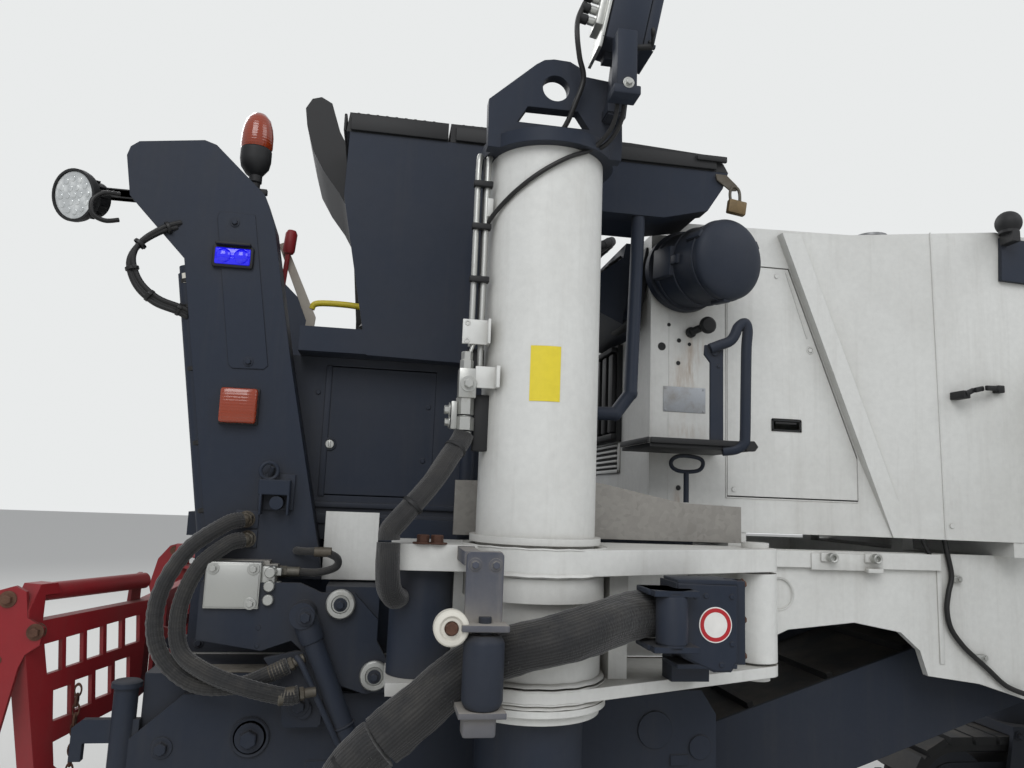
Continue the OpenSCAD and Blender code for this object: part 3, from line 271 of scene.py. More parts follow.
# Black parts: moulded plastic of the operator's station and the lamp bodies, with a fine grain from
# the mould and dust on what faces up. The belts and the track pads are made the same way, of rubber.
def moulded(name, tint, roughness, grain_mm, depth_mm, dust_tint, dust_share):
    material, tree = fresh_material(name)
    coords = add(tree, "TexCoord").outputs["Object"]
    grain = add(tree, "TexVoronoi", {"Vector": coords, "Scale": 1000 / grain_mm})
    cloud = add(tree, "TexNoise", {"Vector": coords, "Scale": 6.0, "Detail": 6.0, "Roughness": 0.65})
    up = add(tree, "SeparateXYZ", {0: add(tree, "NewGeometry").outputs["Normal"]}).outputs["Z"]
    top = add(tree, "MapRange", {"Value": up, "From Min": 0.2, "From Max": 1.0, "To Min": 0.15,
                                 "To Max": 1.0})
    film = add(tree, "MapRange", {"Value": cloud, "From Min": 0.35, "From Max": 0.75})
    share = add(tree, "Math", {0: film, 1: top}, operation="MULTIPLY")
    share = add(tree, "Math", {0: share, 1: dust_share}, operation="MULTIPLY")
    tone = add(tree, "Mix", {0: share, 6: linear(tint), 7: linear(dust_tint)}, data_type="RGBA")
    rough = add(tree, "MapRange", {"Value": share, "To Min": roughness, "To Max": 0.95})
    edge = add(tree, "Bevel", {"Radius": 0.002}, samples=4)
    bump = add(tree, "Bump", {"Height": grain, "Strength": 0.25, "Distance": depth_mm / 1000, "Normal": edge})
    surface = add(tree, "BsdfPrincipled", {"Base Color": tone.outputs[2], "Roughness": rough, "Normal": bump})
    add(tree, "OutputMaterial", {"Surface": surface})
    return material


black_moulding = moulded("black_moulding", "#17181a", 0.6, 2.5, 0.4, "#46443f", 0.18)
for node in ("storage_box", "steering_wheel", "seat", "console_lid", "work_lamps"):
    dress(node, black_moulding)
dress("control_console", slate, (black_moulding, lambda m: m.z > 2575.5))

belt_rubber = moulded("belt_rubber", "#222325", 0.7, 4.0, 0.6, "#6b6459", 0.6)
for node in ("gather_belt", "boom_belt", "front_left_chain", "front_right_chain", "rear_left_chain",
             "rear_right_chain"):
    dress(node, belt_rubber)


# Bare steel: turned, burnished or weathered parts that carry no paint, such as the drum,
# rollers, rods and exhaust. A brown bloom of rust takes the shine off them in patches.
def bare_steel(name, metal, rust, rust_share, roughness, metallic=0.85):
    material, tree = fresh_material(name)
    coords = add(tree, "TexCoord").outputs["Object"]
    cloud = add(tree, "TexNoise", {"Vector": coords, "Scale": 9.0, "Detail": 8.0, "Roughness": 0.7})
    fine = add(tree, "TexNoise", {"Vector": coords, "Scale": 140.0, "Detail": 4.0})
    bloom = add(tree, "MapRange", {"Value": cloud, "From Min": 0.62 - rust_share / 2,
                                   "From Max": 0.78 - rust_share / 3})
    tone = add(tree, "Mix", {0: bloom, 6: linear(metal), 7: linear(rust)}, data_type="RGBA")
    shine = add(tree, "MapRange", {"Value": bloom, "To Min": metallic, "To Max": 0.1})
    rough = add(tree, "MapRange", {"Value": fine, "To Min": roughness - 0.1, "To Max": roughness + 0.2})
    edge = add(tree, "Bevel", {"Radius": 0.0015}, samples=4)
    bump = add(tree, "Bump", {"Height": cloud, "Strength": 0.2, "Distance": 0.001, "Normal": edge})
    surface = add(tree, "BsdfPrincipled", {"Base Color": tone.outputs[2], "Metallic": shine,
                                           "Roughness": rough, "Normal": bump})
    add(tree, "OutputMaterial", {"Surface": surface})
    return material


worn_steel = bare_steel("worn_steel", "#8c8d8e", "#5a4332", 0.25, 0.42)
for node in ("engine_block", "exhaust_stack", "milling_drum", "boom_rollers", "lift_rods"):
    dress(node, worn_steel)


# Splash plate: steel sheet, cut to shape and hot-dip galvanised. The zinc has set in a
# mottle of grey crystals with a dull shine, and the valve blocks have the same coat.
zinc, tree = fresh_material("galvanised_zinc")
coords = add(tree, "TexCoord").outputs["Object"]
crystals = add(tree, "TexVoronoi", {"Vector": coords, "Scale": 75.0})
blotch = add(tree, "TexNoise", {"Vector": coords, "Scale": 7.0, "Detail": 7.0, "Roughness": 0.7})
blend = add(tree, "Mix", {0: 0.78, 6: crystals.outputs["Color"], 7: blotch.outputs["Color"]},
            data_type="RGBA")
mottle = add(tree, "MapRange", {"Value": add(tree, "RGBToBW", {0: blend.outputs[2]}), "From Min": 0.25,
                                "From Max": 0.75})
tone = add(tree, "Mix", {0: mottle, 6: linear("#85827d"), 7: linear("#a3a09a")}, data_type="RGBA")
surface = add(tree, "BsdfPrincipled", {"Base Color": tone.outputs[2], "Metallic": 0.45, "Roughness": 0.5,
                                       "Normal": add(tree, "Bevel", {"Radius": 0.0015}, samples=4)})
add(tree, "OutputMaterial", {"Surface": surface})
dress("splash_plate", zinc)
dress("valve_blocks", zinc, (white, lambda m: m.x > -220))


# Coloured lenses: clear dyed polycarbonate over a bulb, moulded with fine level ribs that
# break up the light under a smooth and shiny face.
def lens(name, tint, glow):
    material, tree = fresh_material(name)
    ribs = add(tree, "TexWave", {"Vector": add(tree, "TexCoord").outputs["Object"], "Scale": 40.0},
               bands_direction="Z")
    bump = add(tree, "Bump", {"Height": ribs.outputs["Fac"], "Strength": 0.3, "Distance": 0.001})
    surface = add(tree, "BsdfPrincipled", {"Base Color": linear(tint), "Roughness": 0.12, "Coat Weight": 0.6,
                                           "Emission Color": linear(tint), "Emission Strength": glow,
                                           "Normal": bump})
    add(tree, "OutputMaterial", {"Surface": surface})
    return material


# Valve and pipes on the rear right leg: zinc-plated steel pipes held by black clips run
# down to a block valve, whose bracket is a folded and slotted plate. They are drawn, bent
# and screwed together, so every joint shows its nut.
def stand(x, y, z, face=(0, -1, 0), turn=0.0):
    """Local axes in millimetres at a place: local Z runs along face and local Y as near up as it can."""
    axis = Vector(face).normalized()
    across = (Vector((0, 0, 1)) if abs(axis.z) < 0.9 else Vector((1, 0, 0))).cross(axis).normalized()
    upright_axes = Matrix((across, axis.cross(across), axis)).transposed()
    axes = upright_axes @ Matrix.Rotation(math.radians(turn), 3, "Z")
    return Matrix.Translation(spot(x, y, z)) @ axes.to_4x4() @ Matrix.Scale(0.001, 4)


def spun(degrees, axis="Z"):
    return Matrix.Rotation(math.radians(degrees), 4, axis)


def shift(x, y, z):
    return Matrix.Translation((x, y, z))


def leaning(x, y, z, degrees):
    """Local axes in millimetres along the frame's own, leaning by some degrees about the
    one that runs across."""
    return Matrix.Translation(spot(x, y, z)) @ spun(degrees, "Y") @ Matrix.Scale(0.001, 4)


def broken(bm, edges, by, segments=2):
    bmesh.ops.bevel(bm, geom=edges, offset=by, offset_type="OFFSET", segments=segments, profile=0.5,
                    affect="EDGES", material=-1, clamp_overlap=True)


def moved(bm, before, at):
    bmesh.ops.transform(bm, matrix=at, verts=[v for v in bm.verts if v not in before])


def slab(bm, at, xs, ys, zs, edge):
    """A box with broken edges between two local corners, given axis by axis."""
    before = set(bm.verts)
    made = bmesh.ops.create_cube(bm, size=1)["verts"]
    size = Vector((xs[1] - xs[0], ys[1] - ys[0], zs[1] - zs[0]))
    middle = Vector((xs[1] + xs[0], ys[1] + ys[0], zs[1] + zs[0])) / 2
    bmesh.ops.transform(bm, matrix=Matrix.Translation(middle) @ Matrix.Diagonal((*size, 1)), verts=made)
    if edge:
        broken(bm, list({e for v in made for e in v.link_edges}), edge)
    moved(bm, before, at)


def plate(bm, at, outline, zs, edge):
    """A flat plate with this local outline, its edges broken."""
    before = set(bm.verts)
    face = bm.faces.new([bm.verts.new((x, y, zs[0])) for x, y in outline])
    grown = bmesh.ops.extrude_face_region(bm, geom=[face])["geom"]
    tops = [v for v in grown if isinstance(v, bmesh.types.BMVert)]
    bmesh.ops.translate(bm, vec=(0, 0, zs[1] - zs[0]), verts=tops)
    made = [v for v in bm.verts if v not in before]
    broken(bm, list({e for v in made for e in v.link_edges}), edge, 1)
    moved(bm, before, at)


def turned(bm, at, outline, sides):
    """A turned piece: (radius, height) points, in order, spun round local Z."""
    before = set(bm.verts)
    rim = [bm.verts.new((r, 0, z)) for r, z in outline]
    edges = [bm.edges.new(pair) for pair in zip(rim, rim[1:])]
    bmesh.ops.spin(bm, geom=rim + edges, cent=(0, 0, 0), axis=(0, 0, 1), angle=math.tau, steps=sides,
                   use_merge=True)
    bmesh.ops.remove_doubles(bm, verts=[v for v in bm.verts if v not in before], dist=1e-4)
    moved(bm, before, at)


def disc(bm, at, radius, zs, sides=24, edge=0.8):
    low, high = zs
    turned(bm, at, [(0, low), (radius - edge, low), (radius, low + edge), (radius, high - edge),
                    (radius - edge, high), (0, high)], sides)


def ring_outline(radius, thick):
    return [(radius + thick * math.cos(a * math.tau / 8),
             thick * math.sin(a * math.tau / 8)) for a in range(9)]


def hoop(bm, at, radius, thick, sides):
    turned(bm, at, ring_outline(radius, thick), sides)


def bolt(bm, at, across, washer=True, height=None):
    """Hexagon head on a washer; across is over the flats."""
    if washer:
        disc(bm, at, across * 0.95, (0, across * 0.14), 20, 0.5)
    before = set(bm.verts)
    low, high = across * 0.12, height or across * 0.72
    corner = across / math.sqrt(3)
    made = bmesh.ops.create_cone(bm, cap_ends=True, segments=6, radius1=corner, radius2=corner,
                                 depth=high - low)["verts"]
    bmesh.ops.translate(bm, vec=(0, 0, (low + high) / 2), verts=made)
    edges = {e for v in made for e in v.link_edges}
    top = [e for e in edges if all(v.co.z > (low + high) / 2 for v in e.verts)]
    broken(bm, top, across * 0.07, 1)
    moved(bm, before, at)


def bent(route, steps=6):
    """Smooth curve through route points in drum millimetres, as frame places."""
    ends = [route[0], *route, route[-1]]
    line = []
    for i in range(1, len(ends) - 2):
        a, b, c, d = (Vector(p) for p in ends[i - 1:i + 3])
        for k in range(steps):
            t = k / steps
            square, cube = (2 * a - 5 * b + 4 * c - d) * t * t, (3 * b - a - 3 * c + d) * t ** 3
            line.append(spot(*(0.5 * (2 * b + (c - a) * t + square + cube))))
    return line + [spot(*route[-1])]


def sweep(bm, line, section):
    """Rings of section(distance, share of the turn), in mm, along line; UV holds turns
    round and metres along."""
    layer = bm.loops.layers.uv.get("run") or bm.loops.layers.uv.new("run")
    sides = section(0, None)
    up, rings, along = Vector((0.1, 0.2, 1)).normalized(), [], 0.0
    for i, here in enumerate(line):
        way = (line[min(i + 1, len(line) - 1)] - line[max(i - 1, 0)]).normalized()
        up = (up - up.dot(way) * way).normalized()
        side = way.cross(up)
        along += (here - line[i - 1]).length if i else 0
        ring = []
        for k in range(sides):
            u, v = section(along, k / sides)
            ring.append(bm.verts.new(here + (u * side + v * up) / 1000))
        rings.append((ring, along))
    for (low, s0), (high, s1) in zip(rings, rings[1:]):
        for k in range(sides):
            n = (k + 1) % sides
            face = bm.faces.new((low[k], low[n], high[n], high[k]))
            for loop, (u, v) in zip(face.loops, ((k, s0), (k + 1, s0), (k + 1, s1), (k, s1))):
                loop[layer].uv = (u / sides, v)
    bm.faces.new(list(reversed(rings[0][0])))
    bm.faces.new(rings[-1][0])


def round_section(radius, sides):
    return lambda s, k: sides if k is None else (radius * math.cos(k * math.tau),
                                                 radius * math.sin(k * math.tau))


def wire(bm, route, radius, sides=10, steps=6):
    sweep(bm, bent(route, steps), round_section(radius, sides))


def publish(name, bm, finish, body, smooth_deg=35, stands_for=()):
    """Closes the mesh into a shown piece that rides a body."""
    bmesh.ops.recalc_face_normals(bm, faces=bm.faces)
    mesh = bpy.data.meshes.new(name)
    bm.to_mesh(mesh)
    bm.free()
    for material in finish if isinstance(finish, (list, tuple)) else [finish]:
        mesh.materials.append(material)
    for face in mesh.polygons:
        face.use_smooth = True
    mesh.set_sharp_from_angle(angle=math.radians(smooth_deg))
    piece = bpy.data.objects.new(name, mesh)
    scene.collection.objects.link(piece)
    if stands_for:
        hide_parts(*stands_for)
    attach(piece, body)
    return piece


UP, FORWARD, BACK = (0, 0, 1), (1, 0, 0), (-1, 0, 0)
LEG_X, LEG_Y, LEG_R, LEG_TOP = 290, -920, 140, 2418
zinc_steel = bare_steel("zinc_plated_steel", "#b9bab6", "#7d7568", 0.12, 0.36)
bm = bmesh.new()
for x, low, high in ((113, 1942, 2420), (136, 1862, 2420)):
    wire(bm, [(x, -966, low), (x, -966, 2100), (x, -964, high - 40), (x + 6, -950, high)], 7.5, 12)
wire(bm, [(136, -966, 2010), (134, -974, 1985), (112, -984, 1930), (108, -984, 1890)], 4.5)
for z, half, long in ((1905, 13, 22), (1882, 15, 26), (1776, 20, 44), (1740, 22, 36)):
    at = stand(104, -982, z, UP)
    bolt(bm, at, half * 1.8, False, long)
    disc(bm, at, half * 0.8, (-long / 3, 2))
slab(bm, stand(106, -984, 1852), (-20, 20), (-34, 34), (-18, 20), 2)
bolt(bm, stand(108, -1004, 1850), 20)
slab(bm, stand(78, -984, 1776), (-6, 8), (-30, 34), (-8, 8), 2)
bolt(bm, stand(70, -984, 1790, BACK), 18)
bolt(bm, stand(70, -984, 1762, BACK), 15)
publish("leg_pipes_and_valve", bm, zinc_steel, "rear_right_leg", stands_for=("leg_fittings",))

bm = bmesh.new()
for z in (2340, 2234, 2104):
    slab(bm, stand(124, -972, z), (-22, 24), (-7, 7), (-10, 10), 2)
slab(bm, stand(128, -958, 2080), (-3, 4), (-110, 330), (-4, 4), 1)
slab(bm, stand(124, -955, 1905), (-18, 22), (-34, 34), (-10, 10), 3)
slab(bm, stand(146, -960, 1770), (-20, 16), (-70, 60), (-14, 14), 3)
publish("leg_pipe_clips", bm, black_moulding, "rear_right_leg")

bm = bmesh.new()
slab(bm, stand(124, -988, 1974), (-34, 26), (-29, 29), (-3, 3), 1)
slab(bm, stand(150, -980, 1974), (-3, 3), (-29, 29), (-10, 32), 1)
slab(bm, stand(150, -1000, 1867), (-27, 27), (-25, 25), (-4, 4), 1)
slab(bm, stand(172, -1000, 1867), (-4, 4), (-25, 25), (-6, 30), 1)
slab(bm, stand(143, -966, 2285), (-6, 8), (-24, 22), (-8, 8), 1)
for z in (1994, 1952):
    hoop(bm, stand(101, -991.5, z), 5, 1.4, 16)
publish("leg_valve_brackets", bm, white, "rear_right_leg")


# Weld beads of the leg: stick welds run round the foot of each collar. Their rippled face
# shows through the white paint that was sprayed over them.
bm = bmesh.new()
for z, radius in ((1497, 144), (1204, 163), (1161, 165), (1428, 160), (1432, 172), (1428, 165)):
    turned(bm, stand(LEG_X, LEG_Y, z, UP), [(radius - 7, -1), (radius + 5, 0), (radius + 3, 5),
                                            (radius - 2, 8), (radius - 7, 9)], 72)
for z in (1490, 1433, 1199, 1172):
    hoop(bm, stand(LEG_X, LEG_Y, z, UP), 170.5, 2.2, 72)
for v in bm.verts:
    around = math.atan2(v.co.y - LEG_Y / 1000, v.co.x - spot(LEG_X, 0, 0).x)
    v.co.z += 0.0006 * math.sin(around * 90)
publish("leg_welds", bm, white, "swing_arm", 80)


# Yellow plate: a thin plastic label with nothing printed on it, cut from sheet with an
# adhesive back and stuck round the front of the leg. Its colour has greyed a little.
label_yellow = enamel("yellow_label", "#e6d23a", "#8d8453", 0.6, 0.2, round_mm=0.3)
bm = bmesh.new()
LABEL_LOW, LABEL_HIGH, LABEL_FROM, LABEL_TURN = 1813, 1939, -110.8, 28.3
inner, outer, steps, rows = LEG_R + 0.2, LEG_R + 0.9, 14, []
corners = ((inner, LABEL_LOW), (outer, LABEL_LOW), (outer, LABEL_HIGH), (inner, LABEL_HIGH))
for i in range(steps + 1):
    a = math.radians(LABEL_FROM + i * LABEL_TURN / steps)
    rows.append([bm.verts.new(spot(LEG_X + r * math.cos(a), LEG_Y + r * math.sin(a), z))
                 for r, z in corners])
for one, two in zip(rows, rows[1:]):
    for k in range(4):
        bm.faces.new((one[k], two[k], two[(k + 1) % 4], one[(k + 1) % 4]))
bm.faces.new(rows[0])
bm.faces.new(list(reversed(rows[-1])))
publish("leg_label", bm, label_yellow, "rear_right_leg")


# Sensor mast on the leg's head: a folded box with a plated back, held in a socket by a
# wing screw. Two cables leave its plugs, and one of them crosses the leg's white tube.
bm = bmesh.new()
box_at = leaning(LEG_X + 84, -1110, LEG_TOP + 262, 11)
slab(bm, box_at, (8, 100), (0, 104), (-2, 204), 6)
slab(bm, box_at, (101, 128), (6, 98), (10, 196), 3)
for y, z in ((14, 20), (90, 20), (14, 186), (90, 186)):
    slab(bm, box_at, (127, 133), (y - 5, y + 5), (z - 5, z + 5), 2)
slab(bm, stand(LEG_X + 133, -1125, LEG_TOP + 172), (-26, 22), (-76, 82), (-14, 34), 4)
slab(bm, stand(LEG_X + 133, -1125, LEG_TOP + 104), (-34, 30), (-10, 12), (-16, 38), 3)
publish("mast_box", bm, slate, "rear_right_leg")

bm = bmesh.new()
slab(bm, box_at, (-3, 5), (2, 102), (-28, 200), 1)
slab(bm, box_at, (-20, 0), (20, 84), (40, 190), 3)
for z in (60, 90, 120, 150, 180):
    disc(bm, box_at @ shift(-20, 50, z) @ spun(-90, "Y"), 10, (0, 16), 16)
bolt(bm, stand(LEG_X + 133, -1162, LEG_TOP + 120), 14)
publish("mast_back_plate", bm, zinc_steel, "rear_right_leg")

bm = bmesh.new()
disc(bm, stand(LEG_X + 150, -1130, LEG_TOP + 226, (1, -0.2, 0.1)), 7, (0, 46), 16)
for turn in (50, -50):
    at = stand(LEG_X + 196, -1139, LEG_TOP + 231, (1, -0.2, 0.1), turn)
    slab(bm, at, (-7, 7), (0, 34), (-3, 3), 2.5)
    disc(bm, at @ shift(0, 32, -4), 10, (0, 8), 16, 2)
for z in (60, 90, 120, 150, 180):
    disc(bm, box_at @ shift(-37, 50, z) @ spun(-90, "Y"), 12, (0, 20), 16, 2)
publish("mast_wing_screw", bm, black_moulding, "rear_right_leg")

cable_jacket = moulded("cable_jacket", "#121213", 0.45, 2.0, 0.2, "#4a4741", 0.3)
bm = bmesh.new()
wire(bm, [(LEG_X + 52, -1060, 2790), (LEG_X + 34, -1068, 2740), (LEG_X + 30, -1080, 2690),
          (LEG_X + 40, -1070, 2640), (LEG_X + 56, -1050, 2600), (LEG_X + 40, -1040, 2540),
          (LEG_X + 16, -1020, 2480), (LEG_X - 20, -985, 2455)], 6.5)
wire(bm, [(LEG_X + 122, -1108, 2548), (LEG_X + 124, -1104, 2500), (LEG_X + 116, -1086, 2462),
          (LEG_X + 96, -1060, 2436), (LEG_X + 74, -1052, 2418), (LEG_X + 20, -1068, 2388),
          (LEG_X - 40, -1062, 2350), (LEG_X - 90, -1036, 2312), (LEG_X - 128, -996, 2276),
          (LEG_X - 152, -966, 2240), (LEG_X - 160, -950, 2190)], 5.5)
wire(bm, [(LEG_X + 140, -1108, 2548), (LEG_X + 142, -1096, 2500), (LEG_X + 132, -1076, 2460),
          (LEG_X + 104, -1050, 2430), (LEG_X + 60, -1010, 2430)], 5.5)
publish("mast_cables", bm, cable_jacket, "rear_right_leg")


# Wrapped hoses: four rubber hoses lie side by side in a woven nylon sleeve, whose lengthwise cords
# show. The sleeve sags flat between its ties, creases where it bends and has frayed along its edges.
def woven(name, tint, dust_tint, cords, dust_share):
    material, tree = fresh_material(name)
    run = add(tree, "UVMap", uv_map="run").outputs["UV"]
    coords = add(tree, "TexCoord").outputs["Object"]
    along = add(tree, "Mapping", {"Vector": run, "Scale": (cords, 6.0, 1.0)})
    drift = add(tree, "TexNoise", {"Vector": along, "Scale": 0.6, "Detail": 2.0})
    bent_run = add(tree, "VectorMath", {0: along, 1: drift.outputs["Color"]}, operation="ADD")
    ribs = add(tree, "TexWave", {"Vector": bent_run, "Scale": 0.5, "Distortion": 1.2, "Detail": 3.0},
               bands_direction="X", wave_profile="SIN")
    weft = add(tree, "Mapping", {"Vector": run, "Scale": (cords, 420.0, 1.0)})
    knots = add(tree, "TexVoronoi", {"Vector": weft, "Scale": 1.0})
    cloud = add(tree, "TexNoise", {"Vector": coords, "Scale": 11.0, "Detail": 7.0, "Roughness": 0.7})
    up = add(tree, "SeparateXYZ", {0: add(tree, "NewGeometry").outputs["Normal"]}).outputs["Z"]
    top = add(tree, "MapRange", {"Value": up, "From Min": -0.2, "From Max": 1.0, "To Min": 0.25,
                                 "To Max": 1.0})
    film = add(tree, "MapRange", {"Value": cloud, "From Min": 0.4, "From Max": 0.72})
    share = add(tree, "Math", {0: film, 1: top}, operation="MULTIPLY")
    share = add(tree, "Math", {0: share, 1: dust_share}, operation="MULTIPLY", use_clamp=True)
    dark = add(tree, "MapRange", {"Value": ribs.outputs["Fac"], "To Min": 0.55, "To Max": 1.35})
    tone = add(tree, "Mix", {0: share, 6: linear(tint), 7: linear(dust_tint)}, data_type="RGBA")
    colour = add(tree, "HueSaturation", {"Color": tone.outputs[2], "Value": dark})
    both = add(tree, "Math", {0: ribs.outputs["Fac"], 1: 0.7, 2: knots}, operation="MULTIPLY_ADD")
    bump = add(tree, "Bump", {"Height": both, "Strength": 0.6, "Distance": 0.0015})
    surface = add(tree, "BsdfPrincipled", {"Base Color": colour, "Roughness": 0.72,
                                           "Sheen Weight": 0.25, "Normal": bump})
    add(tree, "OutputMaterial", {"Surface": surface})
    return material


sleeve_weave = woven("woven_nylon_sleeve", "#17181b", "#57534b", 26, 0.5)


def sleeve_section(wide, deep, seed, lobes, sides=40):
    """Oval sleeve, wide and deep in mm, with creases; lobes are the hoses that show through it."""
    def section(s, k):
        if k is None:
            return sides
        a = k * math.tau
        crease = noise.noise(Vector((math.cos(a) * 1.6, math.sin(a) * 1.6 + seed, s * 9))) * 0.10
        crease += noise.noise(Vector((math.cos(a) * 5, math.sin(a) * 5 + seed, s * 34))) * 0.045
        swell = 1 + crease + 0.035 * math.cos(lobes * a)
        return deep / 2 * math.cos(a) * swell, wide / 2 * math.sin(a) * swell
    return section


def tie(bm, line, at, radius):
    """A black cable tie drawn tight round a hose at one of its route's places."""
    way = (line[min(at + 1, len(line) - 1)] - line[at - 1]).normalized()
    up = Vector((0.1, 0.2, 1))
    up = (up - up.dot(way) * way).normalized()
    axes = Matrix((way.cross(up), up, way)).transposed().to_4x4()
    place = Matrix.Translation(line[at]) @ axes @ Matrix.Scale(0.001, 4)
    turned(bm, place, [(radius, -4.5), (radius + 1.6, -3.5), (radius + 1.6, 3.5), (radius, 4.5)], 28)
    slab(bm, place, (radius - 1, radius + 5), (-4, 4), (-5.5, 5.5), 1)


def frays(bm, line, radius, count, seed, low, high):
    """Broken threads of a sleeve, standing off it between two shares of its length."""
    dice = random.Random(seed)
    layer = bm.loops.layers.uv.get("run")
    for _ in range(count):
        i = min(int(dice.uniform(low, high) * (len(line) - 1)), len(line) - 2)
        base = line[i].lerp(line[i + 1], dice.random())
        way = (line[i + 1] - line[i]).normalized()
        out = Vector((dice.uniform(-1, 1), dice.uniform(-1, 0.2), dice.uniform(-1, 1)))
        out = (out - out.dot(way) * way).normalized()
        root = base + out * (radius - 2) / 1000
        lie = (out * dice.uniform(0.2, 1) + way * dice.uniform(-1, 1)).normalized()
        tip = root + lie * dice.uniform(6, 17) / 1000
        thick = way.cross(out) * 0.0007
        drop = way * 0.0007
        ring = [bm.verts.new(root + thick), bm.verts.new(root - thick), bm.verts.new(root + drop)]
        end = bm.verts.new(tip)
        for a, b in ((0, 1), (1, 2), (2, 0)):
            bm.faces.new((ring[a], ring[b], end))
        bm.faces.new(ring)
    for face in bm.faces:
        for loop in face.loops:
            if len(face.verts) == 3:
                loop[layer].uv = (loop.vert.co.x * 3, loop.vert.co.z)


arm_route = [(570, -1040, 1352), (530, -1042, 1352), (460, -1088, 1352), (380, -1134, 1338),
             (290, -1146, 1312), (210, -1112, 1286), (145, -1086, 1256), (80, -1086, 1210), (20, -1087, 1160),
             (-20, -1087, 1126), (-43, -1087, 1106.5)]
leg_route = [(-49, -1087, 1101.5), (-72, -1087, 1082), (-112, -1084, 1030), (-130, -1072, 920),
             (-100, -1052, 780), (10, -1040, 700), (120, -1030, 680), (186, -1022, 678), (196, -1020, 656),
             (196, -1020, 604.5)]


bm = bmesh.new()
line = bent(arm_route, 12)
sweep(bm, line, sleeve_section(98, 84, 1.0, 4))
frays(bm, line, 44, 420, 5, 0.0, 0.75)
column_line = bent([(-50, -1042, 1493), (-50, -1042, 1450), (-46, -1030, 1405), (-34, -1002, 1378),
                    (-24, -968, 1370)], 8)
sweep(bm, column_line, sleeve_section(50, 50, 4.0, 3, 28))
publish("arm_hose_sleeves", bm, sleeve_weave, "swing_arm", 60, ("arm_hoses",))

bm = bmesh.new()
line = bent(leg_route, 12)
sweep(bm, line, sleeve_section(98, 84, 2.0, 4))
frays(bm, line, 43, 420, 9, 0.0, 0.6)
line = bent([(104, -982, 1738), (98, -986, 1722), (78, -1004, 1690), (34, -1030, 1620), (-16, -1042, 1560),
             (-48, -1042, 1520), (-50, -1042, 1499)], 8)
sweep(bm, line, sleeve_section(46, 46, 7.0, 3, 28))
frays(bm, line, 22, 60, 3, 0.2, 0.9)
publish("leg_hose_sleeves", bm, sleeve_weave, "rear_right_leg", 60, ("leg_hoses",))

bm = bmesh.new()
for i in (14, 30):
    tie(bm, line, i, 24)
line = bent(leg_route, 12)
for i in (20, 50, 76):
    tie(bm, line, i, 45)
publish("leg_hose_ties", bm, black_moulding, "rear_right_leg")


# Hoses at the rear posts: rubber hose in a corrugated sleeve, from elbow fittings on the right post
# to the cylinder of the guard's linkage. The left side carries the mirror of the leg's wrapped hoses.
def corrugated(radius):
    pitch, depth, sides = 7.0, 1.6, 16

    def section(s, k):
        if k is None:
            return sides
        r = radius - depth * (0.5 + 0.5 * math.cos(s * 1000 / pitch * math.tau))
        return r * math.cos(k * math.tau), r * math.sin(k * math.tau)
    return section


hose_rubber = woven("rubber_hose", "#17181a", "#5c574e", 12, 0.55)
post_routes = ([(-404, -728, 1518), (-440, -750, 1506), (-520, -766, 1440), (-568, -778, 1330),
                (-552, -790, 1220), (-470, -796, 1150), (-370, -800, 1146), (-300, -800, 1172),
                (-262, -797, 1190)],
               [(-398, -730, 1470), (-430, -752, 1460), (-488, -768, 1404), (-520, -772, 1310),
                (-506, -790, 1222), (-440, -820, 1180), (-350, -840, 1152), (-262, -838, 1131),
                (-232, -832, 1134)])
bm = bmesh.new()
for route in post_routes:
    sweep(bm, bent(route, 22), corrugated(20))
sweep(bm, bent([(-262, -718, 1396), (-214, -724, 1396), (-172, -728, 1410), (-170, -730, 1432),
                (-204, -730, 1446), (-250, -722, 1446), (-270, -706, 1446), (-270, -697, 1446)], 8),
      round_section(9.5, 14))
for route, wide, deep, seed in ((arm_route, 104, 72, 11.0), (leg_route, 92, 84, 12.0)):
    sweep(bm, bent([(x, -y, z) for x, y, z in route], 8), sleeve_section(wide, deep, seed, 4, 28))
publish("rear_hose_runs", bm, hose_rubber, "machine", 60, ("rear_hoses",))

POST_Y, ELBOW_HEIGHTS = -695, (1519, 1471)
aged_steel = bare_steel("aged_fittings", "#6c6a63", "#4c4336", 0.5, 0.5, 0.6)
bm = bmesh.new()
for route, z in zip(post_routes, ELBOW_HEIGHTS):
    x = -398 if z > 1500 else -392
    disc(bm, stand(x, POST_Y, z), 21, (0, 6), 24)
    bolt(bm, stand(x, -700, z), 32, False, 22)
    sleeve_end = tuple(a + (b - a) * 0.7 for a, b in zip(route[0], route[1]))
    wire(bm, [(x, -712, z), (x - 1, -726, z), route[0], sleeve_end], 13.5, 14)
    last = [Vector(p) for p in route[-2:]]
    way = (last[1] - last[0]).normalized()
    at = stand(*last[1], way)
    disc(bm, at, 19, (-46, -4), 20, 3)
    bolt(bm, at, 27, False, 14)
    disc(bm, at, 11, (10, 40), 16)
bolt(bm, stand(-310, -718, 1396, FORWARD), 24, False, 22)
disc(bm, stand(-290, -718, 1396, FORWARD), 12, (0, 32), 16)
disc(bm, stand(-190, -730, 1446, BACK), 12, (-6, 36), 16)
publish("rear_hose_fittings", bm, aged_steel, "machine")


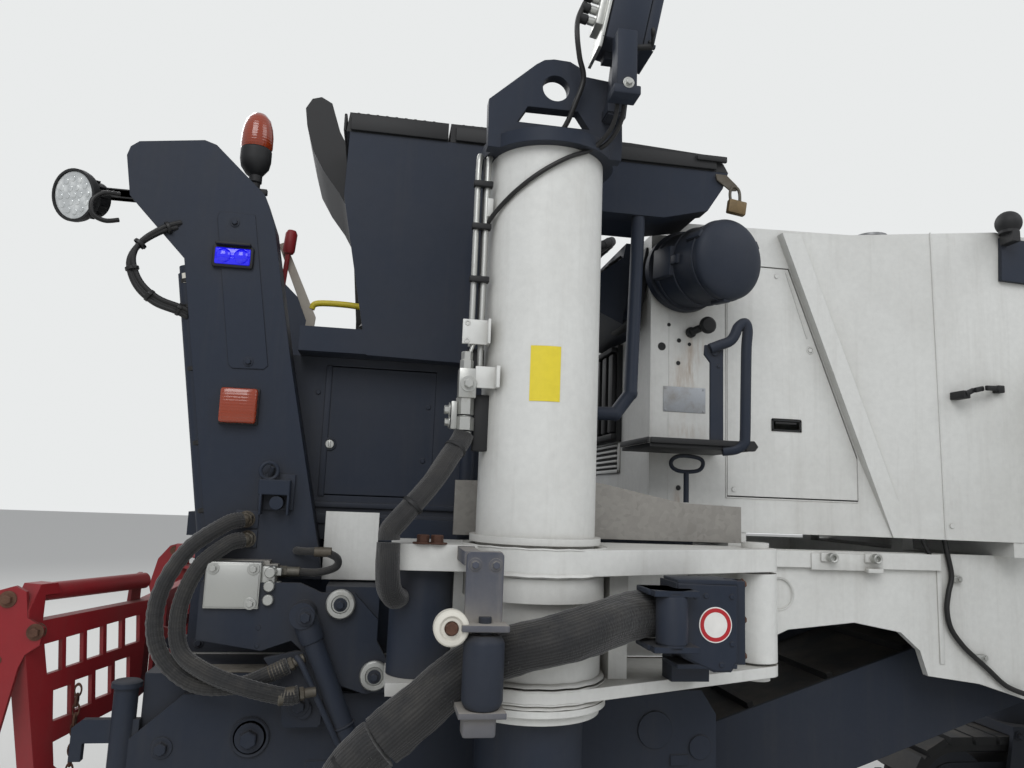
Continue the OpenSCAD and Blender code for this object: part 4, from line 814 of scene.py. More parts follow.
# Fittings on the swing arm: a bracket of dusty hot-rolled plate holds a steel guide
# roller between its ears, with a white polyamide roller beside it. The guard box behind
# has a bolted lid and a hinge of four rusty barrels.
dusty_plate = enamel("dusty_plate", "#474b57", "#8f8b85", 0.35, 0.9)
bm = bmesh.new()
outline = [(-38, -70), (38, -70), (38, 66), (32, 74), (-32, 74), (-38, 66)]
plate(bm, stand(142, -1150, 1415), outline, (0, 14), 2)
slab(bm, stand(142, -1176, 1344), (-46, 48), (-7, 6), (-26, 26), 2)
slab(bm, stand(142, -1150, 1182), (-46, 48), (-6, 6), (-58, 52), 2)
slab(bm, stand(142, -1170, 1158), (-36, 30), (-20, 20), (-20, 20), 6)
slab(bm, stand(118, -1010, 1473), (-18, 18), (-14, 14), (0, 142), 1)
slab(bm, stand(90, -1150, 1342), (-30, 30), (-20, 22), (0, 13), 2)
for x, z in ((121, 1462), (163, 1462)):
    bolt(bm, stand(x, -1164, z), 14)
publish("guide_roller_bracket", bm, dusty_plate, "swing_arm")

bm = bmesh.new()
at = stand(145, -1168, 1190, UP)
turned(bm, at, [(0, 0), (34, 0), (38, 6), (41, 14), (41, 122), (38, 130), (30, 138), (14, 139), (14, 150),
                (0, 150)], 40)
disc(bm, stand(145, -1168, 1336, UP), 13, (0, 26), 20)
publish("guide_roller", bm, slate, "swing_arm")

polyamide = moulded("white_polyamide", "#dedbd0", 0.45, 9.0, 0.15, "#a39d8d", 0.5)
bm = bmesh.new()
turned(bm, stand(77, -1164, 1342), [(14, 0), (32, 0), (35, 3), (35, 24), (32, 28), (24, 30), (20, 26),
                                    (14, 26), (14, 0)], 48)
publish("polyamide_roller", bm, polyamide, "swing_arm")

rusted = bare_steel("rusted_steel", "#7a5a47", "#4c3125", 0.7, 0.75, 0.25)
bm = bmesh.new()
bolt(bm, stand(77, -1186, 1342), 22)
for x in (24, 55):
    bolt(bm, stand(x, -1000, 1490, UP), 24, True, 20)
for z in (1279, 1325, 1371, 1417):
    turned(bm, stand(728, -1060, z - 17, UP), [(0, 0), (11, 0), (13, 3), (13, 31), (11, 34), (0, 34)], 16)
for z in (1268, 1346, 1424):
    bolt(bm, stand(742, -1058, z, FORWARD), 13)
publish("arm_rusty_bolts", bm, rusted, "swing_arm")

bm = bmesh.new()
plate(bm, stand(572, -1092, 0), [(4, 1300), (22, 1270), (90, 1243), (126, 1243), (140, 1264), (140, 1424),
                                 (4, 1426)], (-1, 4), 1.5)
for x, z in ((615, 1400), (640, 1401), (600, 1290), (676, 1256), (700, 1300), (700, 1400)):
    disc(bm, stand(x, -1096, z), 5.5, (0, 3.4), 12, 1)
turned(bm, stand(552, -1122, 1302, UP), [(0, 0), (30, 0), (34, 5), (34, 98), (30, 104), (0, 104)], 32)
for z in (1290, 1404):
    plate(bm, stand(0, 0, z, UP), [(1040, 500), (1120, 500), (1150, 536), (1150, 566), (1120, 604),
                                   (1040, 600)], (0, 12), 1.5)
slab(bm, stand(728, -1074, 1340), (-20, 14), (-88, 92), (-20, 2), 2)
for z in (1252, 1430):
    slab(bm, stand(640, -1050, z), (-64, 74), (-5, 5), (-44, 44), 1.5)
publish("guard_box_lid", bm, slate, "swing_arm")


# Round sign on the guard box: a thin punched disc of sheet metal, enamelled white with a
# raised red rim. Its field stays blank.
sign_white = enamel("sign_white", "#e9e8e4", "#b5b0a6", 0.7, 0.15, round_mm=0.4)
sign_red = enamel("sign_red", "#b3232b", "#8d5a52", 0.65, 0.15, round_mm=0.4)
bm = bmesh.new()
disc(bm, stand(662, -1096, 1340), 38, (0, 1.4), 48, 0.4)
count = len(bm.faces)
turned(bm, stand(662, -1096, 1340), [(27, 1.4), (27, 1.8), (35.5, 1.8), (35.5, 1.4)], 48)
bm.faces.ensure_lookup_table()
for face in bm.faces[count:]:
    face.material_index = 1
publish("round_sign", bm, [sign_white, sign_red], "swing_arm")


# Rear post: a fabricated box in dark enamel. On its outer face sit a screwed cover, a
# blue lamp, an amber side marker and a pull latch; a conduit with clips runs down its
# rear edge and a cable bundle loops out of it.
bm = bmesh.new()
plate(bm, stand(0, POST_Y, 0), [(-466, 1896), (-388, 1898), (-378, 1908), (-442, 2306), (-532, 2306),
                                (-536, 2290), (-476, 1906)], (0.2, 3), 1)
for x, z in ((-427, 1915), (-491, 2280)):
    bolt(bm, stand(x, -698, z), 13)
slab(bm, stand(-331, POST_Y, 1589), (-44, 44), (-45, 45), (0, 10), 2)
plate(bm, stand(-331, POST_Y, 1589), [(-40, -8), (36, -8), (36, 30), (-40, 30)], (10, 44), 2)
for x in (-36, 30):
    slab(bm, stand(-331, POST_Y, 1560), (x, x + 6), (-28, 24), (8, 44), 2)
hoop(bm, stand(-350, -722, 1640, (0.2, -1, 0)), 21, 5, 24)
disc(bm, stand(-350, -700, 1625, (0.3, -0.6, 1)), 7, (-30, 34), 14)
disc(bm, stand(-326, -700, 1562), 17, (0, 34), 20)
for z in ELBOW_HEIGHTS:
    slab(bm, stand(-395, POST_Y, z), (-30, 26), (-22, 22), (0, 5), 2)
publish("post_cover_and_latch", bm, slate, "machine")

bm = bmesh.new()
foot, head = Vector((-496, -665, 1490)), Vector((-604, -665, 2160))
wire(bm, [tuple(head), tuple(head.lerp(foot, 0.5)), tuple(foot)], 21, 20)
publish("post_conduit", bm, slate, "machine")

bm = bmesh.new()
down = (foot - head).normalized()
for share in (0.06, 0.16, 0.4, 0.68, 0.93):
    turned(bm, stand(*head.lerp(foot, share), down), [(21, -6), (23.5, -5), (23.5, 5), (21, 6)], 28)
loop_route = [(-628, -690, 2262), (-668, -702, 2240), (-712, -712, 2198), (-727, -716, 2150),
              (-706, -712, 2094), (-662, -704, 2056), (-610, -690, 2040), (-584, -680, 2030)]
for lift in (-7, 0, 7):
    wire(bm, [(x + lift * 0.6, y - abs(lift) * 0.4, z + lift) for x, y, z in loop_route], 7)
line = bent(loop_route)
for i in (4, 12, 20, 28, 36):
    tie(bm, line, i, 15)
wire(bm, [(-780, -690, 2330), (-812, -712, 2322), (-832, -724, 2296), (-828, -722, 2262), (-804, -706, 2252),
          (-776, -690, 2262)], 6)
publish("post_cables", bm, cable_jacket, "machine")

bm = bmesh.new()
turned(bm, stand(*head.lerp(foot, 0.05), down), [(21.5, -13), (22.5, -12), (22.5, 12), (21.5, 13)], 28)
publish("conduit_band", bm, polyamide, "machine")


# Lamps on the posts: the amber beacon stands on a plated stem with a clamp and a black foot, the blue lamp
# has two domed lights, and the round work lights have a finned body and a clear face over their diodes.
BEACON_Y = -585
amber_lens = lens("amber_lens", "#8f3413", 0.0)
bm = bmesh.new()
turned(bm, stand(-474, BEACON_Y, 2534, UP), [(0, 0), (40, 0), (43, 8), (43, 40), (40, 62), (33, 86),
                                             (20, 102), (0, 109)], 36)
slab(bm, stand(-439, POST_Y, 1800), (-45, 45), (-44, 44), (6, 30), 6)
publish("amber_lenses", bm, amber_lens, "machine", 60, ("amber_lamps",))


def work_light(side):
    return stand(-880, side * 681, 2318, (-0.42, side * 0.88, -0.2))


bm = bmesh.new()
turned(bm, stand(-474, BEACON_Y, 2456, UP), [(0, 0), (16, 0), (24, 6), (38, 26), (42, 46), (42, 74), (38, 79),
                                             (0, 79)], 32)
turned(bm, stand(-470, BEACON_Y, 2404, UP), [(10, 0), (20, 2), (20, 14), (14, 18), (14, 30), (18, 34),
                                             (18, 52), (10, 54)], 16)
slab(bm, stand(-449, BEACON_Y, 2412), (-6, 14), (-8, 8), (-8, 8), 2)
slab(bm, stand(-439, POST_Y, 1800), (-48, 48), (-47, 47), (0.2, 8), 3)
slab(bm, stand(-487, POST_Y, 2186), (-52, 52), (-30, 30), (0, 14), 8)
slab(bm, stand(-487, POST_Y, 2216), (-44, 44), (-2, 5), (0, 26), 1.5)
for side in (-1, 1):
    at = work_light(side)
    turned(bm, at, [(0, -62), (34, -62), (44, -50), (46, -18), (64, -4), (67, 6), (67, 20), (61, 21),
                    (60, 14), (0, 14)], 40)
    for turn in range(0, 360, 30):
        slab(bm, at @ spun(turn), (40, 52), (-1.5, 1.5), (-46, -12), 0.5)
    slab(bm, stand(-806, side * 635, 2348), (-62, 46), (-12, 12), (-14, 14), 3)
    slab(bm, stand(-858, side * 650, 2340), (-10, 10), (-30, 30), (-24, 24), 4)
publish("lamp_bodies", bm, black_moulding, "machine")

bm = bmesh.new()
disc(bm, stand(-472, BEACON_Y, 2300, (0.03, 0, 1)), 10, (0, 108), 20)
slab(bm, stand(-472, -595, 2320), (-16, 16), (-24, 24), (-4, 2), 1)
publish("beacon_stem", bm, zinc_steel, "machine")

blue_lens = lens("blue_lens", "#1410c8", 0.7)
bm = bmesh.new()
for x in (-509, -465):
    turned(bm, stand(x, -709, 2186), [(0, 12), (9, 11), (17, 7), (22, 0), (22, -4), (0, -4)], 28)
slab(bm, stand(-487, -709, 2186), (-44, 44), (-22, 22), (-4, 4), 6)
publish("blue_lenses", bm, blue_lens, "machine", 60, ("blue_lamp",))

# Work-light glass: drawn opaque, with painted glints. Each cell of a square pattern is painted brighter at
# its middle.
lamp_glass, tree = fresh_material("lamp_glass")
run = add(tree, "TexVoronoi", {"Vector": add(tree, "TexCoord").outputs["Object"], "Scale": 46.0},
          distance="CHEBYCHEV")
painted_glint = add(tree, "MapRange", {"Value": run, "From Min": 0.1, "From Max": 0.5, "To Min": 1.0, "To Max": 0.55})
tone = add(tree, "Mix", {0: painted_glint, 6: linear("#8e9496"), 7: linear("#e8ebea")}, data_type="RGBA")
surface = add(tree, "BsdfPrincipled", {"Base Color": tone.outputs[2], "Roughness": 0.08, "Metallic": 0.3,
                                       "Coat Weight": 1.0})
add(tree, "OutputMaterial", {"Surface": surface})
bm = bmesh.new()
for side in (-1, 1):
    at = work_light(side)
    disc(bm, at, 60, (14.2, 17), 40, 1)
    for ring, count in ((0, 1), (20, 6), (42, 12)):
        for i in range(count):
            x, y = ring * math.cos(i * math.tau / count), ring * math.sin(i * math.tau / count)
            disc(bm, at @ shift(x, y, 0), 8, (16, 18.6), 12, 1)
publish("work_light_faces", bm, lamp_glass, "machine")


# Side cabinet: sheet steel in dark enamel with a flush door on a quarter-turn lock;
# rivets hold its hinge strip, and a folded sill runs below it. The zinc-plated manifold
# at the post's foot has a screwed cover and three ports.
CABINET_Y = -594
bm = bmesh.new()
for x, z in ((-256, 1861), (-324, 1910), (-262, 1512), (190, 1912), (190, 1560)):
    disc(bm, stand(x, CABINET_Y - 2, z), 7, (0, 3), 14, 1)
slab(bm, stand(-90, CABINET_Y, 1560), (-236, 290), (-7, 7), (0, 9), 2)
slab(bm, stand(-60, CABINET_Y, 1526), (-270, 262), (-16, 12), (-2, 6), 2)
slab(bm, stand(-226, CABINET_Y, 1758), (-12, 4), (-176, 176), (0, 5), 1.5)
publish("cabinet_rivets_and_sill", bm, slate, "machine")
bm = bmesh.new()
for x, z in ((43, 1835), (35, 1687)):
    disc(bm, stand(x, CABINET_Y - 0.8, z), 7, (0, 3), 14, 1)
hoop(bm, stand(-216, CABINET_Y - 2, 1721), 15, 3, 24)
publish("cabinet_door_rivets", bm, slate, "cabinet_lid")
bm = bmesh.new()
disc(bm, stand(-216, CABINET_Y - 0.8, 1721), 12, (0.2, 7), 20, 1.5)
slab(bm, stand(-216, -602, 1721), (-2.5, 2.5), (-9, 9), (-1, 2), 0.5)
publish("cabinet_lock", bm, zinc_steel, "cabinet_lid")
bm = bmesh.new()
slab(bm, stand(-406, -731, 1367), (-63, 63), (-54, 54), (-1, 45), 2)
slab(bm, stand(-406, -776, 1367), (-60, 60), (-50, 50), (0, 3), 2)
for x, z in ((-452, 1406), (-360, 1406), (-362, 1326)):
    bolt(bm, stand(x, -779, z), 15)
slab(bm, stand(-325, -731, 1366), (-18, 14), (-46, 46), (0, 34), 3)
for z in (1398, 1366, 1334):
    disc(bm, stand(-322, -765, z), 13, (-6, 14), 18, 2)
    slab(bm, stand(-312, -742, z), (0, 14), (-9, 9), (-10, 12), 2)
publish("manifold_face", bm, zinc_steel, "machine")


# Hood's right wall: folded steel sheet. The door lies flush on rivets, with a recessed pull beside its seam;
# bare holes, a knob and an unprinted aluminium plate sit behind the step, and rust has run from the holes.
WALL_Y = -440


def stain(material, tint, marks):
    """Rust that has run down the right wall; marks are places and half sizes in drum
    millimetres, with a strength."""
    tree = material.node_tree
    surface = next(n for n in tree.nodes if n.type == "BSDF_PRINCIPLED")
    paint = surface.inputs["Base Color"].links[0].from_socket
    coords = add(tree, "TexCoord").outputs["Object"]
    runs = add(tree, "Mapping", {"Vector": coords, "Scale": (60.0, 60.0, 9.0)})
    cloud = add(tree, "TexNoise", {"Vector": runs, "Scale": 1.0, "Detail": 6.0, "Roughness": 0.65})
    broad = add(tree, "MapRange", {"Value": cloud, "From Min": 0.38, "From Max": 0.75})
    total = None
    for x, z, wide, tall, strength in marks:
        place = add(tree, "VectorMath", {0: coords, 1: spot(x, WALL_Y, z)}, operation="SUBTRACT")
        ball = add(tree, "VectorMath", {0: place, 1: (1000 / wide, 50.0, 1000 / tall)}, operation="MULTIPLY")
        reach = add(tree, "VectorMath", {0: ball}, operation="LENGTH")
        part = add(tree, "MapRange", {"Value": reach.outputs["Value"], "From Min": 0.1, "From Max": 1.0,
                                      "To Min": strength, "To Max": 0.0})
        part = part.outputs["Result"]
        total = add(tree, "Math", {0: total, 1: part},
                    operation="MAXIMUM").outputs["Value"] if total else part
    share = add(tree, "Math", {0: total, 1: broad}, operation="MULTIPLY", use_clamp=True)
    both = add(tree, "Mix", {0: share, 6: paint, 7: linear(tint)}, data_type="RGBA")
    tree.links.new(both.outputs[2], surface.inputs["Base Color"])


stained = enamel("stained_white_enamel", "#dadbd8", "#857f74", 0.62, 0.4)
stain(stained, "#8f6a3c", ((872, 2030, 32, 130, 1.0), (836, 1975, 46, 150, 0.6), (905, 2085, 26, 70, 0.7),
                           (779, 2040, 26, 80, 0.5), (835, 1600, 26, 60, 0.9), (862, 1820, 90, 40, 0.6)))
bpy.data.objects["hood_shell_dressed"].data.materials[0] = stained


# Painted shade: black discs on the wall stand for the dark insides of its bare holes.
bm = bmesh.new()
for x, z, r in ((777, 2088, 13), (834, 2111, 7), (832, 2038, 7), (835, 1646, 8), (869, 2101, 6),
                (800, 2160, 6)):
    disc(bm, stand(x, WALL_Y, z), r, (0.2, 1.2), 16, 0.3)
publish("wall_holes_painted_shade", bm, black_moulding, "machine")

bm = bmesh.new()
for x, z in ((1203, 2434), (980, 1590), (1470, 1590), (1100, 2430)):
    disc(bm, stand(x, WALL_Y, z), 7.5, (0, 3), 16, 1.2)
for x0, z0, x1, z1 in ((993, 1622, 1503, 1622), (1503, 1622, 1217, 2383), (993, 1622, 993, 2383)):
    sweep(bm, [spot(x0, WALL_Y - 0.3, z0), spot(x1, WALL_Y - 0.3, z1)], round_section(2, 8))
publish("wall_rivets_and_seams", bm, white, "machine")
bm = bmesh.new()
for x, z in ((1018, 1648), (1468, 1646), (1286, 2110), (1170, 2350), (1018, 2350)):
    disc(bm, stand(x, WALL_Y, z), 7.5, (0, 3), 16, 1.2)
hoop(bm, stand(1286, WALL_Y, 2110), 11, 2.2, 20)
sweep(bm, [spot(1203, WALL_Y - 1, 2366), spot(1239, WALL_Y - 1, 2260), spot(1275, WALL_Y - 1, 2150)],
      round_section(2.2, 8))
publish("hood_door_rivets", bm, white, "hood_side_door")

bm = bmesh.new()
at = stand(1199, WALL_Y, 1858)
for xs, ys in (((-52, 52), (13, 19)), ((-52, 52), (-19, -13)), ((-52, -45), (-19, 19)),
               ((45, 52), (-19, 19))):
    slab(bm, at, xs, ys, (0, 3), 0.8)
slab(bm, at, (-38, 34), (4, 11), (-2, 3), 1)
publish("hood_door_pull", bm, black_moulding, "hood_side_door")
bm = bmesh.new()
disc(bm, stand(872, WALL_Y, 2139), 17, (0, 12), 20, 2)
wire(bm, [(872, WALL_Y - 8, 2139), (890, WALL_Y - 22, 2148), (911, WALL_Y - 34, 2157)], 12, 14)
turned(bm, stand(911, WALL_Y - 30, 2157), [(0, 0), (23, 3), (27, 12), (27, 20), (20, 27), (0, 28)], 28)
publish("wall_knob", bm, black_moulding, "machine")

plate_tin = bare_steel("unprinted_aluminium", "#a9adb2", "#8f8b84", 0.3, 0.5, 0.6)
bm = bmesh.new()
slab(bm, stand(853, WALL_Y, 1922), (-70, 70), (-40, 40), (0.2, 1.8), 0.6)
for x, z in ((-63, 34), (63, 34), (-63, -34), (63, -34)):
    disc(bm, stand(853 + x, WALL_Y - 1.6, 1922 + z), 3.5, (0, 1.5), 10, 0.5)
publish("unprinted_plate", bm, plate_tin, "machine")


# Step and grab handle on the hood wall: a black non-slip tray on a welded rim, a flat bar with a hooked head,
# and a bent tube from the hook to the tray's outer corner. A pull with a looped handle hangs below the tray.
bm = bmesh.new()
slab(bm, stand(802, -690, 1757), (-150, 150), (-6, 6), (-250, 0), 2)
slab(bm, stand(802, -690, 1766), (-150, 150), (-4, 12), (0, 10), 2)
slab(bm, stand(650, -570, 1766, BACK), (-120, 128), (-4, 12), (0, 8), 2)
plate(bm, stand(0, -688, 0), [(930, 1750), (958, 1751), (968, 1764), (956, 1780), (926, 1778)], (0, 16), 2)
for row in range(5):
    for column in range(9):
        disc(bm, stand(676 + column * 30, -480 - row * 44, 1763, UP), 7, (0, 4), 10, 1)
publish("step_tray", bm, black_moulding, "machine", stands_for=("side_step",))

bm = bmesh.new()
plate(bm, stand(0, -676, 0), [(832, 1764), (871, 1764), (871, 2012), (872, 2048), (816, 2050), (814, 2022),
                              (832, 2000)], (0, 9), 1)
wire(bm, [(828, -690, 2038), (856, -694, 2050), (884, -698, 2062), (898, -700, 2080), (910, -700, 2106),
          (930, -700, 2118), (938, -700, 2096), (934, -700, 2040), (931, -700, 1900), (929, -700, 1800),
          (926, -698, 1772), (906, -690, 1756), (870, -680, 1750)], 15, 16, 8)
disc(bm, stand(844, -685, 2030), 11, (0, 5), 20)
disc(bm, stand(856, -684, 1990), 5, (0, 4), 12)
publish("step_grab_handle", bm, slate, "machine")

bm = bmesh.new()
loop = [(770, -560, 1728), (790, -560, 1737), (830, -560, 1737), (858, -560, 1730), (864, -560, 1714),
        (852, -560, 1698), (824, -560, 1692), (790, -560, 1693), (770, -560, 1702), (764, -560, 1716),
        (770, -560, 1728)]
wire(bm, loop, 6, 12)
wire(bm, [(812, -560, 1692), (812, -560, 1650), (812, -560, 1602)], 8, 12)
publish("step_pull", bm, slate, "machine")


# Seams of the nose: a black moulded bow handle bridges the fold on two feet, and the
# edges of the panels behind it are folded and riveted.
bm = bmesh.new()
for x0, z0, x1, z1, half in ((1738, 1978, 1768, 1990, 20), (1768, 1990, 1806, 1999, 20),
                             (1806, 1999, 1874, 2003, 36)):
    rise = Matrix.Rotation(math.atan2(z1 - z0, x1 - x0), 4, "Z")
    slab(bm, stand((x0 + x1) / 2, -570, (z0 + z1) / 2, (0.26, -1, 0)) @ rise, (-half, half), (-8, 8),
         (0, 11), 3)
slab(bm, stand(1742, -519, 1975), (-13, 13), (-12, 13), (-2, 60), 3)
slab(bm, stand(1868, -553, 2001), (-12, 12), (-13, 11), (-2, 26), 3)
publish("nose_bow_handle", bm, black_moulding, "machine")
FOLD_X, NOSE_X, NOSE_Y = 1440, 1890, -560


def nose_face(x):
    """How far out the wall stands: it slants from the fold to the nose and runs straight from there."""
    return WALL_Y - (x - FOLD_X) * 120 / 450 if x < NOSE_X else NOSE_Y


bm = bmesh.new()
for x0, z0, x1, z1 in ((1700, 1520, 1690, 2528), (2960, 1520, 2960, 2440), (2320, 1520, 2320, 2500)):
    sweep(bm, [spot(x0, nose_face(x0) - 0.5, z0), spot(x1, nose_face(x1) - 0.5, z1)], round_section(2.4, 8))
for x, y, z in ((2340, NOSE_Y, 1560), (2940, NOSE_Y, 1560), (2340, NOSE_Y, 2440), (2940, NOSE_Y, 2380),
                (1720, -514.6, 1560)):
    disc(bm, stand(x, y, z), 8, (0, 3), 16, 1)
publish("nose_seams", bm, white, "machine")


# Filter canister: a deep-drawn steel drum with a shallow dished end, in dark enamel. Three rolled
# beads run round it, a square housing carries it at its root, and three sprung latches hold its cover.
axis = Vector((56, -198, -14)).normalized()
at = stand(836, -474, 2326, axis)
canister = dress("filter_canister", slate)
rim, FLATTER = spot(892, -672, 2312), 0.66
for vertex in canister.data.vertices:
    over = (vertex.co - rim).dot(axis)
    if over > 0:
        vertex.co -= axis * over * FLATTER
bm = bmesh.new()
for low in (18, 96, 188):
    hoop(bm, at @ shift(0, 0, low), 119, 3.2, 56)
slab(bm, at, (-128, -96), (-46, 46), (10, 96), 5)
slab(bm, at, (-126, -88), (-14, 14), (96, 130), 3)
for turn in (30, 150, 270):
    slab(bm, at @ spun(turn), (116, 126), (-12, 12), (150, 210), 2)
publish("filter_clamps", bm, slate, "machine")


# Bulkhead behind the wheel: a black storage box with moulded ribs, a louvred vent below
# it and a framed panel that hangs over it. A thin black sheet behind the vent's slats is painted shade.
bm = bmesh.new()
for y in (-110, -30, 50, 130, 200):
    slab(bm, stand(724, y, 1974, BACK), (-24, 24), (-140, 140), (-4, 16), 6)
slab(bm, stand(724, 42, 2128, BACK), (-184, 184), (-10, 8), (-4, 22), 3)
slab(bm, stand(724, 42, 1820, BACK), (-184, 184), (-10, 10), (-4, 18), 3)
# Painted shade: a thin black sheet behind the louvre's slats stands for the dark inside of the vent.
slab(bm, stand(739.8, 40, 1753, BACK), (-176, 176), (-46, 44), (0.5, 1.5), 0)
slab(bm, stand(736, -300, 2290, (-1, 0, 0.2)), (-110, 110), (-130, 130), (-2, 30), 8)
publish("bulkhead_fittings", bm, black_moulding, "machine")
bm = bmesh.new()
for z in range(1718, 1792, 18):
    slab(bm, stand(740, 40, z, BACK), (-170, 170), (-4, 4), (1, 10), 1)
for ys, zs in (((-186, 186), (44, 56)), ((-186, 186), (-58, -46)), ((-186, -172), (-58, 56)),
               ((172, 186), (-58, 56))):
    slab(bm, stand(739.8, 40, 1753, BACK), ys, zs, (0, 7), 2)
publish("bulkhead_louvre", bm, white, "machine")
bm = bmesh.new()
slab(bm, stand(704, -300, 2284, (-1, 0, 0.2)), (-84, 84), (-100, 100), (-2, 4), 3)
publish("bulkhead_screen", bm, slate, "machine")


# Frame beam on the right: a rolled bar welded along the side plate, with a lug plate held
# by two socket screws. A pressed blank closes the round hole below it, and a cable in
# clips runs from the hood down to the front leg.
BEAM_Y, SIDE_Y = -484, -470
bm = bmesh.new()
slab(bm, stand(1372, BEAM_Y, 1437), (-121, 121), (-25, 25), (0, 3.5), 1)
for x in (1308, 1457):
    slab(bm, stand(x, BEAM_Y, 1450), (-28, 28), (-12, 14), (0, 11), 2)
    disc(bm, stand(x, BEAM_Y - 11, 1451), 14, (0, 9), 24, 2)
slab(bm, stand(1457, BEAM_Y, 1415), (-26, 26), (-8, 6), (2, 22), 2)
turned(bm, stand(1150, SIDE_Y, 1335), [(0, -6), (43, -6), (47, -2), (50, 1.5), (51, -1)], 40)
sweep(bm, [spot(x, BEAM_Y + 12, 1417) for x in range(1002, 1700, 20)], round_section(2.4, 8))
sweep(bm, [spot(x, SIDE_Y - 0.5, 1468) for x in range(600, 990, 20)], round_section(2.4, 8))
slab(bm, stand(1700, SIDE_Y, 1330), (-8, 8), (-200, 120), (0, 4), 1)
publish("beam_lug_plate", bm, white, "machine")

bm = bmesh.new()
for x in (1308, 1457):
    turned(bm, stand(x, BEAM_Y - 20, 1451), [(0, 4), (7, 4), (8, 15), (13, 17), (15, 15), (15, 0),
                                             (0, 0)], 24)
for x, z in ((1750, 1393), (1829, 1151)):
    slab(bm, stand(x, SIDE_Y, z), (-18, 20), (-10, 10), (0, 14), 3)
    bolt(bm, stand(x + 12, SIDE_Y - 14, z), 12)
publish("beam_screws", bm, zinc_steel, "machine")

bm = bmesh.new()
wire(bm, [(1716, -480, 1524), (1723, -482, 1480), (1736, -483, 1404), (1722, -484, 1350), (1714, -484, 1296),
          (1726, -484, 1240), (1762, -484, 1192), (1800, -484, 1158), (1850, -484, 1118), (1915, -484, 1066),
          (1985, -500, 1040)], 8, 12, 8)
wire(bm, [(1640, -476, 1520), (1652, -478, 1490), (1668, -478, 1462)], 6)
publish("frame_cable", bm, cable_jacket, "machine")


# Milled soil: a dull grey crust of asphalt dust and fine chips lies on the arch's ledge
# and on the flats near the drum, thickest in the middle of each level place.
crust, tree = fresh_material("asphalt_crust")
coords = add(tree, "TexCoord").outputs["Object"]
lumps = add(tree, "TexNoise", {"Vector": coords, "Scale": 45.0, "Detail": 8.0, "Roughness": 0.75})
tone = add(tree, "Mix", {0: lumps, 6: linear("#5a564f"), 7: linear("#a29c90")}, data_type="RGBA")
bump = add(tree, "Bump", {"Height": lumps, "Strength": 0.9, "Distance": 0.006})
surface = add(tree, "BsdfPrincipled", {"Base Color": tone.outputs[2], "Roughness": 0.97, "Normal": bump})
add(tree, "OutputMaterial", {"Surface": surface})


def crusted(bm, xs, ys, z, deep, seed, cells):
    """A low heap of crust over a level patch, thin at its edges; cells counts its squares each way."""
    grid, (across, along) = [], cells
    for i in range(across + 1):
        row = []
        for j in range(along + 1):
            u, v = i / across, j / along
            swell = math.sin(math.pi * u) ** 0.5 * math.sin(math.pi * v) ** 0.5
            rough = 0.6 + 0.8 * noise.noise(Vector((u * 14 + seed, v * 4, seed)))
            x, y = xs[0] + u * (xs[1] - xs[0]), ys[0] + v * (ys[1] - ys[0])
            row.append(bm.verts.new(spot(x, y, z + deep * swell * rough)))
        grid.append(row)
    for a, b in zip(grid, grid[1:]):
        for j in range(along):
            bm.faces.new((a[j], b[j], b[j + 1], a[j + 1]))


LEDGE_Z = 1151
bm = bmesh.new()
crusted(bm, (-470, 620), (-690, -600), LEDGE_Z, 9, 3.0, (80, 12))
crusted(bm, (120, 900), (-700, -480), LEDGE_Z, 7, 7.0, (60, 12))
publish("asphalt_crust", bm, crust, "machine", 80)


# Rear of the frame: its sides behind the legs carry flat sheets of 3 mm steel in dark
# enamel, like the posts above them, held by hexagon bolts along their upper and lower edges.
bm = bmesh.new()
for side in (-1, 1):
    face = (0, side, 0)
    slab(bm, stand(-270, side * 470, 1308, face), (-290, 290), (-152, 152), (1, 4), 1)
    for x in (-530, -270, -10):
        for z in (1180, 1436):
            bolt(bm, stand(x, side * 474, z, face), 15)
publish("frame_side_sheets", bm, slate, "machine")


# Linkage behind the leg: cut plates in dark enamel with bolted pins. Two hardened rollers guide the edge
# plate, and the lift cylinder has a turned gland, two bands round its barrel and a thin pipe beside it.
bm = bmesh.new()
for x, z in ((-152, 1328), (-62, 1163)):
    turned(bm, stand(x, -772, z), [(0, 0), (33, 0), (35, 3), (35, 12), (32, 15), (22, 16), (20, 13), (14, 13),
                                   (12, 20), (0, 21)], 40)
publish("linkage_rollers", bm, zinc_steel, "machine")
bm = bmesh.new()
for x, y, z, size in ((-152, -790, 1328, 17), (-62, -790, 1163, 17), (-228, -828, 1304, 22),
                      (-232, -778, 1096, 26)):
    bolt(bm, stand(x, y, z), size)
for x, z in ((-340, 1269), (-340, 1228)):
    disc(bm, stand(x, -766, z), 6, (0.2, 1), 14, 0.3)
gland, foot = Vector((-232, -796, 1296)), Vector((-112, -796, 1022))
for share in (0.12, 0.86):
    hoop(bm, stand(*foot.lerp(gland, share), gland - foot), 25, 2.5, 28)
turned(bm, stand(*gland, gland - foot), [(20, -60), (28, -56), (30, -40), (30, 10), (24, 20)], 28)
publish("linkage_bolts", bm, slate, "machine")
bm = bmesh.new()
wire(bm, [(-244, -806, 1212), (-226, -816, 1190), (-176, -818, 1096), (-124, -812, 1000),
          (-112, -804, 990)], 7)
publish("linkage_pipe", bm, slate, "machine")


